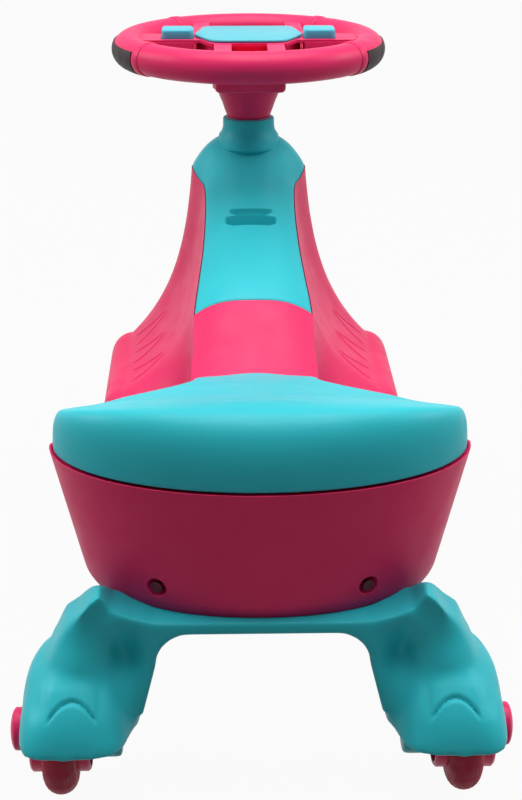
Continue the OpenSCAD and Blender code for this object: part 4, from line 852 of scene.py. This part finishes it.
def cradle_side(side):
    """Closed forms that one side of the cradle is grown together from."""
    def drawn(name, outline, length):
        return prism(name, [(side * x, z) for x, z in outline], -BEAM_BACK, length - BEAM_BACK)

    fender, mid = fender_skin(side), side * BELOW_X
    low, high = (mid - BELOW_HALF, -BELOW_REACH, -BELOW_REACH), (mid + BELOW_HALF, BELOW_REACH, SKIRT_Z)
    cut(fender, block("below", low, high))
    outline = [(LEG_X - LEG_R, ARCH_Z + LEG_LAP)]
    for i in range(13):
        a = math.radians(90 * i / 12)
        outline.append((LEG_X - LEG_R + LEG_R * math.sin(a), ARCH_Z - LEG_R + LEG_R * math.cos(a)))
    outline += [
        (LEG_X + 3 * FENDER_WALL, SKIRT_Z + FOOT_RISE),
        (DOME_IN_X - FENDER_WALL / 2, SKIRT_Z + FOOT_RISE / 2),
        (DOME_IN_X, SKIRT_Z), (INNER_FACE_X, SKIRT_Z), (INNER_FACE_X, ARCH_Z + LEG_LAP)
    ]
    leg = drawn("leg", outline, LEG_L)
    arch = [(DOME_X * a, mix(ARCH_Z, BEAM_LIP_Z, b)) for a, b in ARCH_SHARES]
    start = [(-SHOULDER_LAP, ARCH_Z), (-SHOULDER_LAP, arch[0][1])]
    end = [(INNER_WALL_X, arch[-1][1]), (INNER_WALL_X, ARCH_Z)]
    shoulder = drawn("shoulder", start + arch + end, BEAM_L)
    keep_at = place(0, -SHOULDER_BACK, BEAM_LIP_Z - SHOULDER_R)
    keep = rod("keep", SHOULDER_R, -SHOULDER_LAP * side, KEEP_END_X * side, keep_at, axis="X", steps=128)
    join_cut(shoulder, keep, "INTERSECT")
    start, end = [(-BEAM_LAP, ARCH_Z), (-BEAM_LAP, arch[0][1])], [(LEG_X, arch[1][1]), (LEG_X, ARCH_Z)]
    beam = drawn("beam", start + arch[:1] + end, BEAM_L)
    boss = rod("boss", BOSS_R, side * DOME_IN_X, side * CAP_FOOT_X, AXLE_AT, axis="X")
    return [fender, leg, shoulder, beam, boss]


# The fender's relief is drawn on the plane across the camera's view: x across the car, w up that plane
CAMERA_PITCH = 19.9
VIEW_UP, VIEW_BACK = math.cos(math.radians(CAMERA_PITCH)), math.sin(math.radians(CAMERA_PITCH))
LEAF_X, LEAF_HALF, LEAF_TIP_W, LEAF_RUN, LEAF_H, LEAF_SOFT = 0.121, 0.016, 0.106, 0.040, 0.0012, 0.0045
GROOVE_W, GROOVE_FALL, GROOVE_HALF, GROOVE_H = 0.0667, 0.0135, 0.0015, 0.0020
GROOVE_OVER, GROOVE_SOFT = 0.001, 0.004
HOOD_X, HOOD_W, HOOD_TURN, HOOD_H = 0.1322, 0.106, math.radians(55.7), 0.0016
HOOD_OVER, HOOD_SOFT, HOOD_ACROSS = 0.001, 0.007, (0.086, 0.014, 0.139, 0.008)
CREASE_H, CREASE_DROP, CREASE_HALF = 0.0012, 0.0060, 0.0060
# Mounds as (x, w, half x, half w, height)
VALLEY = (0.0890, 0.091, 0.010, 0.015, 0.012)
FILL = (0.117, 0.089, 0.014, 0.010, 0.007)
# Zones as (from, softness, to, softness), across the car and up the plane
LEAF_ZONE = ((0.098, 0.008, 0.152, 0.008), (0.050, 0.014, 0.112, 0.010))
BESIDE_LEG = ((0.077, 0.006, 0.114, 0.010), (0.036, 0.010, 0.118, 0.012))
UNDER_HOOD = ((0.100, 0.008, 0.148, 0.006), (0.080, 0.010, 0.124, 0.010))
FOLD_ZONE = ((0.098, 0.008, 0.148, 0.006), (0.072, 0.008, 0.120, 0.010))
# Turn of the surface towards the view and towards the back as (from, softness)
VIEW_FACING, BACK_FACING = (0.1, 0.3), (0.05, 0.4)
CARVE_MARGIN, CARVE_END_Y, SOFT_END_Y = 0.01, 0.012, 0.01
VOXEL, PULL, ALL_ROUNDS, VALLEY_ROUNDS, FOLD_ROUNDS = 0.0014, 0.5, 13, 64, 90


def bell(value, half):
    return math.exp(-(value / half) ** 2)


def mound(x, w, at_x, at_w, half_x, half_w, height):
    return height * bell(math.hypot((x - at_x) / half_x, (w - at_w) / half_w), 1.0)


def window(value, low, rise, high, fall):
    """1 between two places, with soft ends inside them."""
    return smooth((value - low) / rise) * smooth((high - value) / fall)


def zone(x, w, across, up):
    return window(x, *across) * window(w, *up)


def view_w(y, z):
    return y * VIEW_BACK + z * VIEW_UP


def relief(x, w):
    """Raised leaf with a curved groove across its foot: how far the surface lies under the dome."""
    half = LEAF_HALF * math.sin(math.pi / 2 * min(1.0, max(0.0, (LEAF_TIP_W - w) / LEAF_RUN)))
    off = abs(x - LEAF_X)
    inside = smooth((half - off) / LEAF_SOFT + 0.5)
    line = GROOVE_W - GROOVE_FALL * ((x - LEAF_X) / LEAF_HALF) ** 2
    groove = GROOVE_H * bell(w - line, GROOVE_HALF) * smooth((half + GROOVE_OVER - off) / GROOVE_SOFT)
    return LEAF_H * (1 - inside) * zone(x, w, *LEAF_ZONE) + groove


def push(x, w):
    """How far the shoulder's back is set forward: crease and valley; its hood and the fill are set back."""
    above = (x - HOOD_X) * math.cos(HOOD_TURN) + (w - HOOD_W) * math.sin(HOOD_TURN)
    reach = window(x, *HOOD_ACROSS)
    hood = HOOD_H * smooth((above + HOOD_OVER) / HOOD_SOFT) * reach
    crease = CREASE_H * bell(above + CREASE_DROP, CREASE_HALF) * reach
    return crease + mound(x, w, *VALLEY) - hood - mound(x, w, *FILL)


def valley_weight(x, w):
    """Where the forms flow into each other: beside the leg, and under the shoulder's hood."""
    return max(zone(x, w, *BESIDE_LEG), zone(x, w, *UNDER_HOOD))


def fold_weight(x, w):
    """Where the fender's top runs up into the shoulder."""
    return zone(x, w, *FOLD_ZONE)


def relax(points, edges, weights, rounds):
    """Moves each point part of the way to the middle of its neighbours, again and again."""
    ends = numpy.concatenate((edges[:, 0], edges[:, 1]))
    starts = numpy.concatenate((edges[:, 1], edges[:, 0]))
    count = numpy.bincount(ends, minlength=len(points))
    for _ in range(rounds):
        for k in range(3):
            middle = numpy.bincount(ends, points[starts, k], len(points)) / count
            points[:, k] += weights * (middle - points[:, k])


def soften(obj, weight, everywhere, rounds):
    """Relaxes the whole mesh for some rounds, then the places at its back that a weight picks out."""
    mesh = obj.data
    points = numpy.empty(len(mesh.vertices) * 3)
    edges = numpy.empty(len(mesh.edges) * 2, dtype=int)
    mesh.vertices.foreach_get("co", points)
    mesh.edges.foreach_get("vertices", edges)
    points, edges = points.reshape(-1, 3), edges.reshape(-1, 2)
    relax(points, edges, PULL, everywhere)
    weights = numpy.array([
        PULL * weight(abs(x), view_w(y - AXLE_Y, z)) if y - AXLE_Y < SOFT_END_Y else 0.0
        for x, y, z in points.tolist()
    ])
    relax(points, edges, weights, rounds)
    mesh.vertices.foreach_set("co", points.ravel())
    mesh.update()


def facing(turn, start, soft):
    return smooth((turn - start) / soft)


def carve(at, normal):
    """Move that gives a point of the softened cradle its relief."""
    x, y = abs(at[0]), at[1] - AXLE_Y
    if x < TAPER_X - CARVE_MARGIN or y > CARVE_END_Y:
        return Vector((0, 0, 0))
    w = view_w(y, at[2])
    move = normal * (-relief(x, w) * facing(normal[2] * VIEW_BACK - normal[1] * VIEW_UP, *VIEW_FACING))
    move[1] += push(x, w) * facing(-normal[1], *BACK_FACING)
    return move


def make_cradle():
    cradle = joined("cradle", [piece for side in (-1, 1) for piece in cradle_side(side)])
    grid = cradle.modifiers.new("grid", "REMESH")
    grid.mode = "VOXEL"
    grid.voxel_size = VOXEL
    settle(cradle)
    soften(cradle, valley_weight, ALL_ROUNDS, VALLEY_ROUNDS)
    moves = [carve(v.co, v.normal) for v in cradle.data.vertices]
    for v, move in zip(cradle.data.vertices, moves):
        v.co += move
    soften(cradle, fold_weight, 0, FOLD_ROUNDS)
    wells = [tub_form()]
    for side in (-1, 1):
        wells.append(dome("well", side, INNER_FACE_X, INNER_FACE_X + 2 * WELL_HALF, FENDER_WALL))
        wells.append(dome("inner_well", side, DOME_IN_X + FENDER_WALL, INNER_WALL_X, INNER_WELL_WALL, BOSS_R))
        ends = (side * NUT_ROOM_X, side * INNER_WALL_X)
        wells.append(rod("nut_room", NUT_ROOM_R, *ends, AXLE_AT, axis="X", steps=48))
    for well in wells:
        cut(cradle, well)
    shown(cradle, "teal", "chassis", "rear_cradle")


# Steering wheel, measured from the column: panel, keys, spoke walls and the bands at the ends of the grips

WHEEL_Z, RING_R, SHELL = 0.410, 0.0995, 0.0025
PLATE_TOP_Z, PLATE_Z, SPOKE_FLOOR_Z = 0.418667, 0.416167, 0.4035
PANEL_W, PANEL_NEAR, PANEL_FAR, PANEL_CORNER = 0.086, -0.0301, 0.0399, 0.65
PANEL_ROUND, PANEL_EDGE = 0.009, 0.0011
KEY_X, KEY_W, KEY_L, KEY_TOP_Z, KEY_FOOT_Z = 0.0586, 0.026, 0.024, 0.426167, 0.4168
KEY_ROUND, KEY_EDGE = 0.0045, 0.0017
BEVEL_STEPS, BEVEL_ANGLE = 3, math.radians(40)
# Housing and the right-hand spoke walls as (x from, x to, y from, y to)
HOUSING, HOUSING_ROUND, HOUSING_EDGE = (-0.028, 0.028, -0.097, -0.024), 0.006, 0.003
HOUSING_LOW_Z, HOUSING_HIGH_Z = 0.3895, 0.4045
SPOKE_WALLS = (
    (0.046, 0.0885, -0.0172, -0.0148), (0.046, 0.0885, 0.0148, 0.0172),
    (0.0144, 0.0286, -0.0885, -0.036), (0.0324, 0.0466, 0.045, 0.080)
)
SPOKE_LOW_Z, SPOKE_HIGH_Z, SPOKE_EDGE = SPOKE_FLOOR_Z - 0.0004, PLATE_Z + 0.001, 0.0006
# Angles from the near side in degrees; a band's profile as (angle from its middle, radius)
GRIP_FROM, GRIP_TO, BAND_GAP, BAND_PARTS = 58, 139, 2.7, 40
BAND_PROFILE = (
    (-2.3, 0.0126), (-2.1, 0.0135), (-1.7, 0.0138), (0, 0.0138), (1.7, 0.0138), (2.1, 0.0135), (2.3, 0.0126)
)


def rounded(points, radius, steps=7):
    """The same outline with its corners rounded."""
    made = []
    for i, p in enumerate(points):
        p, before, after = Vector(p), Vector(points[i - 1]), Vector(points[(i + 1) % len(points)])
        a, b = p + (before - p).normalized() * radius, p + (after - p).normalized() * radius
        for k in range(steps + 1):
            t = k / steps
            made.append(tuple(a * (1 - t) ** 2 + p * 2 * t * (1 - t) + b * t * t))
    return made


def slab(name, outline, low, high, edge):
    """Outline of (x, y) points, drawn up between two heights, with rounded edges."""
    verts = [place(x, COLUMN_Y + y, z) for z in (low, high) for x, y in outline]
    obj = new_object(name, verts, tube_faces(2, len(outline)))
    change = obj.modifiers.new("edge", "BEVEL")
    change.width = edge
    change.segments = BEVEL_STEPS
    change.limit_method = "ANGLE"
    change.angle_limit = BEVEL_ANGLE
    settle(obj)
    return obj


def make_panel():
    half, corner = PANEL_W / 2 + SHELL, PANEL_W / 2 * PANEL_CORNER
    near, far = PANEL_NEAR - SHELL, PANEL_FAR + SHELL
    near_x, far_x = corner + SHELL / 2, corner * 4 / 3
    outline = [(-half, 0), (-near_x, near), (near_x, near), (half, 0), (far_x, far), (-far_x, far)]
    panel = slab("panel", rounded(outline, PANEL_ROUND), PLATE_TOP_Z, PLATE_TOP_Z + SHELL, PANEL_EDGE)
    shown(panel, "panel_teal", "steering", "centre_panel")


def make_keys():
    for side, word in ((-1, "left"), (1, "right")):
        x = side * KEY_X
        outline = rounded(rectangle(x - KEY_W / 2, x + KEY_W / 2, -KEY_L / 2, KEY_L / 2), KEY_ROUND)
        key = slab(word + "_key_top", outline, KEY_FOOT_Z, KEY_TOP_Z, KEY_EDGE)
        shown(key, "key_teal", word + "_key", "key_" + word)


def make_spokes():
    """Side walls that make the spokes closed bars, and the housing under the near rim."""
    outline = rounded(rectangle(*HOUSING), HOUSING_ROUND)
    pieces = [slab("housing", outline, HOUSING_LOW_Z, HOUSING_HIGH_Z, HOUSING_EDGE)]
    for side in (-1, 1):
        for x0, x1, y0, y1 in SPOKE_WALLS:
            outline = rectangle(*sorted((side * x0, side * x1)), y0, y1)
            pieces.append(slab("wall", outline, SPOKE_LOW_Z, SPOKE_HIGH_Z, SPOKE_EDGE))
    shown(joined("spoke_walls", pieces), "wheel_pink", "steering")


def band_arc(side, middle):
    """Collar round the rim at an angle from the near side."""
    verts = []
    for turn, r in BAND_PROFILE:
        a = math.radians(middle + turn)
        out = (side * math.sin(a), -math.cos(a))
        for k in range(BAND_PARTS):
            b = 2 * math.pi * k / BAND_PARTS
            reach = RING_R + r * math.cos(b)
            verts.append(place(out[0] * reach, COLUMN_Y + out[1] * reach, WHEEL_Z + r * math.sin(b)))
    return new_object("band", verts, tube_faces(len(BAND_PROFILE), BAND_PARTS))


def make_bands():
    pieces = [band_arc(side, turn) for side in (-1, 1) for turn in (GRIP_FROM - BAND_GAP, GRIP_TO + BAND_GAP)]
    shown(joined("grip_bands", pieces), "wheel_pink", "steering")


# Anti-slip ribs on the foot rests

RIB_PLACES = (0.350, 0.394, 0.438)
RIB_PAIR = (((0.098, 0.0), (0.070, 0.004)), ((0.072, 0.010), (0.098, 0.027)))
RIB_SECTION = (
    (-0.0020, -0.0012), (-0.0016, 0.0003), (-0.0008, 0.0010),
    (0.0008, 0.0010), (0.0016, 0.0003), (0.0020, -0.0012)
)
RIB_PARTS, RIB_TIP, RIB_SWELL = 24, 0.25, 6


def wing_z(x, y):
    """Height of the foot rest, found between its edge and the neck."""
    low, high = SIDE_END, FLANK_END
    for _ in range(30):
        k = (low + high) / 2
        if body_point(y, plan_half(y), k, 0.0)[0] > x:
            low = k
        else:
            high = k
    return body_point(y, plan_half(y), low, 0.0)[1]


def rib(side, start, end):
    """Low rounded strip on the foot rest between two places in plan."""
    run_x, run_y = end[0] - start[0], end[1] - start[1]
    length = math.hypot(run_x, run_y)
    verts = []
    for i in range(RIB_PARTS + 1):
        t = i / RIB_PARTS
        slim = min(1.0, RIB_TIP + RIB_SWELL * min(t, 1 - t))
        for off, high in RIB_SECTION:
            x = start[0] + run_x * t + run_y / length * off * slim
            y = start[1] + run_y * t - run_x / length * off * slim
            verts.append(place(side * x, y, wing_z(x, y) + high * (slim if high > 0 else 1.0)))
    return new_object("rib", verts, tube_faces(RIB_PARTS + 1, len(RIB_SECTION)))


def make_ribs():
    pieces = []
    for side in (-1, 1):
        for y in RIB_PLACES:
            pieces += [rib(side, (a[0], y + a[1]), (b[0], y + b[1])) for a, b in RIB_PAIR]
    shown(joined("foot_ribs", pieces), "body_pink", "chassis")


# Camera, floor and light

FOCAL_PX, PICTURE_H, SENSOR = 1908.0, 800, 36.0
CAMERA_AT, CAMERA_TURN = (-0.027, -1.111, 0.674), -1.35
FLOOR_REACH, FLOOR_DARK, FLOOR_LIGHT, FLOOR_ROUGH, FLOOR_GLOW = 6.0, (0.19,) * 3, (0.22,) * 3, 0.8, 0.95
WORLD_LIGHT = 0.12
# Lamps as (name, place, aim, size, power)
LAMPS = (
    ("top", (0.1, 0.0, 3.2), (0, 0.05, 0.2), 3.0, 108),
    ("left", (-2.2, 0.3, 1.6), (0, 0, 0.2), 1.4, 26),
    ("right", (2.2, 0.3, 1.6), (0, 0, 0.2), 1.4, 22)
)


def make_camera():
    data = bpy.data.cameras.new("camera")
    data.sensor_width = SENSOR
    data.lens = FOCAL_PX / PICTURE_H * SENSOR
    camera = bpy.data.objects.new("camera", data)
    camera.location = place(*CAMERA_AT)
    camera.rotation_euler = (math.radians(90 - CAMERA_PITCH), 0, math.radians(CAMERA_TURN))
    bpy.context.scene.collection.objects.link(camera)
    bpy.context.scene.camera = camera


def seen_directly(tree):
    """1 for rays that show the background itself: to the camera, by reflection or through glass."""
    path = tree.nodes.new("ShaderNodeLightPath")
    value = path.outputs["Is Camera Ray"]
    for kind in ("Is Glossy Ray", "Is Transmission Ray"):
        total = tree.nodes.new("ShaderNodeMath")
        total.operation = "ADD"
        total.use_clamp = True
        link(tree, value, total.inputs[0])
        link(tree, path.outputs[kind], total.inputs[1])
        value = total.outputs["Value"]
    return value


def mixed(tree, share, first, second, output):
    """Shows two shaders by a share of the second."""
    node = tree.nodes.new("ShaderNodeMixShader")
    link(tree, share, node.inputs["Fac"])
    link(tree, first, node.inputs[1])
    link(tree, second, node.inputs[2])
    link(tree, node.outputs["Shader"], tree.nodes[output].inputs["Surface"])


def make_floor():
    """A floor that shows nearly white and still takes shadows."""
    made, tree, shader, coords = surface("floor")
    tone = colours(tree, noise(tree, coords, scale=2.0), FLOOR_DARK, FLOOR_LIGHT)
    link(tree, tone, shader.inputs["Base Color"])
    shader.inputs["Roughness"].default_value = FLOOR_ROUGH
    glow = tree.nodes.new("ShaderNodeEmission")
    share = tree.nodes.new("ShaderNodeMath")
    share.operation = "MULTIPLY"
    share.inputs[1].default_value = FLOOR_GLOW
    link(tree, seen_directly(tree), share.inputs[0])
    mixed(tree, share.outputs["Value"], shader.outputs["BSDF"], glow.outputs["Emission"], "Material Output")
    mesh = bpy.data.meshes.new("floor")
    edges = (-FLOOR_REACH, FLOOR_REACH)
    mesh.from_pydata([(x, y, 0) for x, y in rectangle(*edges, *edges)], [], [(0, 1, 2, 3)])
    floor = bpy.data.objects.new("floor", mesh)
    floor.data.materials.append(made)
    bpy.context.scene.collection.objects.link(floor)


def make_world():
    world = bpy.data.worlds.new("world")
    world.use_nodes = True
    tree = world.node_tree
    back = tree.nodes["Background"]
    back.inputs["Color"].default_value = (1, 1, 1, 1)
    back.inputs["Strength"].default_value = WORLD_LIGHT
    seen = tree.nodes.new("ShaderNodeBackground")
    seen.inputs["Strength"].default_value = 1.0
    mixed(tree, seen_directly(tree), back.outputs["Background"], seen.outputs["Background"], "World Output")
    bpy.context.scene.world = world


def make_lamp(name, at, aim, size, power):
    data = bpy.data.lights.new(name, "AREA")
    data.shape = "DISK"
    data.size = size
    data.energy = power
    lamp = bpy.data.objects.new(name, data)
    lamp.location = at
    lamp.rotation_euler = (Vector(aim) - Vector(at)).to_track_quat("-Z", "Y").to_euler()
    bpy.context.scene.collection.objects.link(lamp)


dress_nodes()
make_body()
make_seat()
make_cover()
make_cradle()
make_panel()
make_keys()
make_spokes()
make_bands()
make_ribs()
make_camera()
make_floor()
make_world()
for lamp in LAMPS:
    make_lamp(*lamp)
bpy.context.scene.view_settings.view_transform = "Standard"
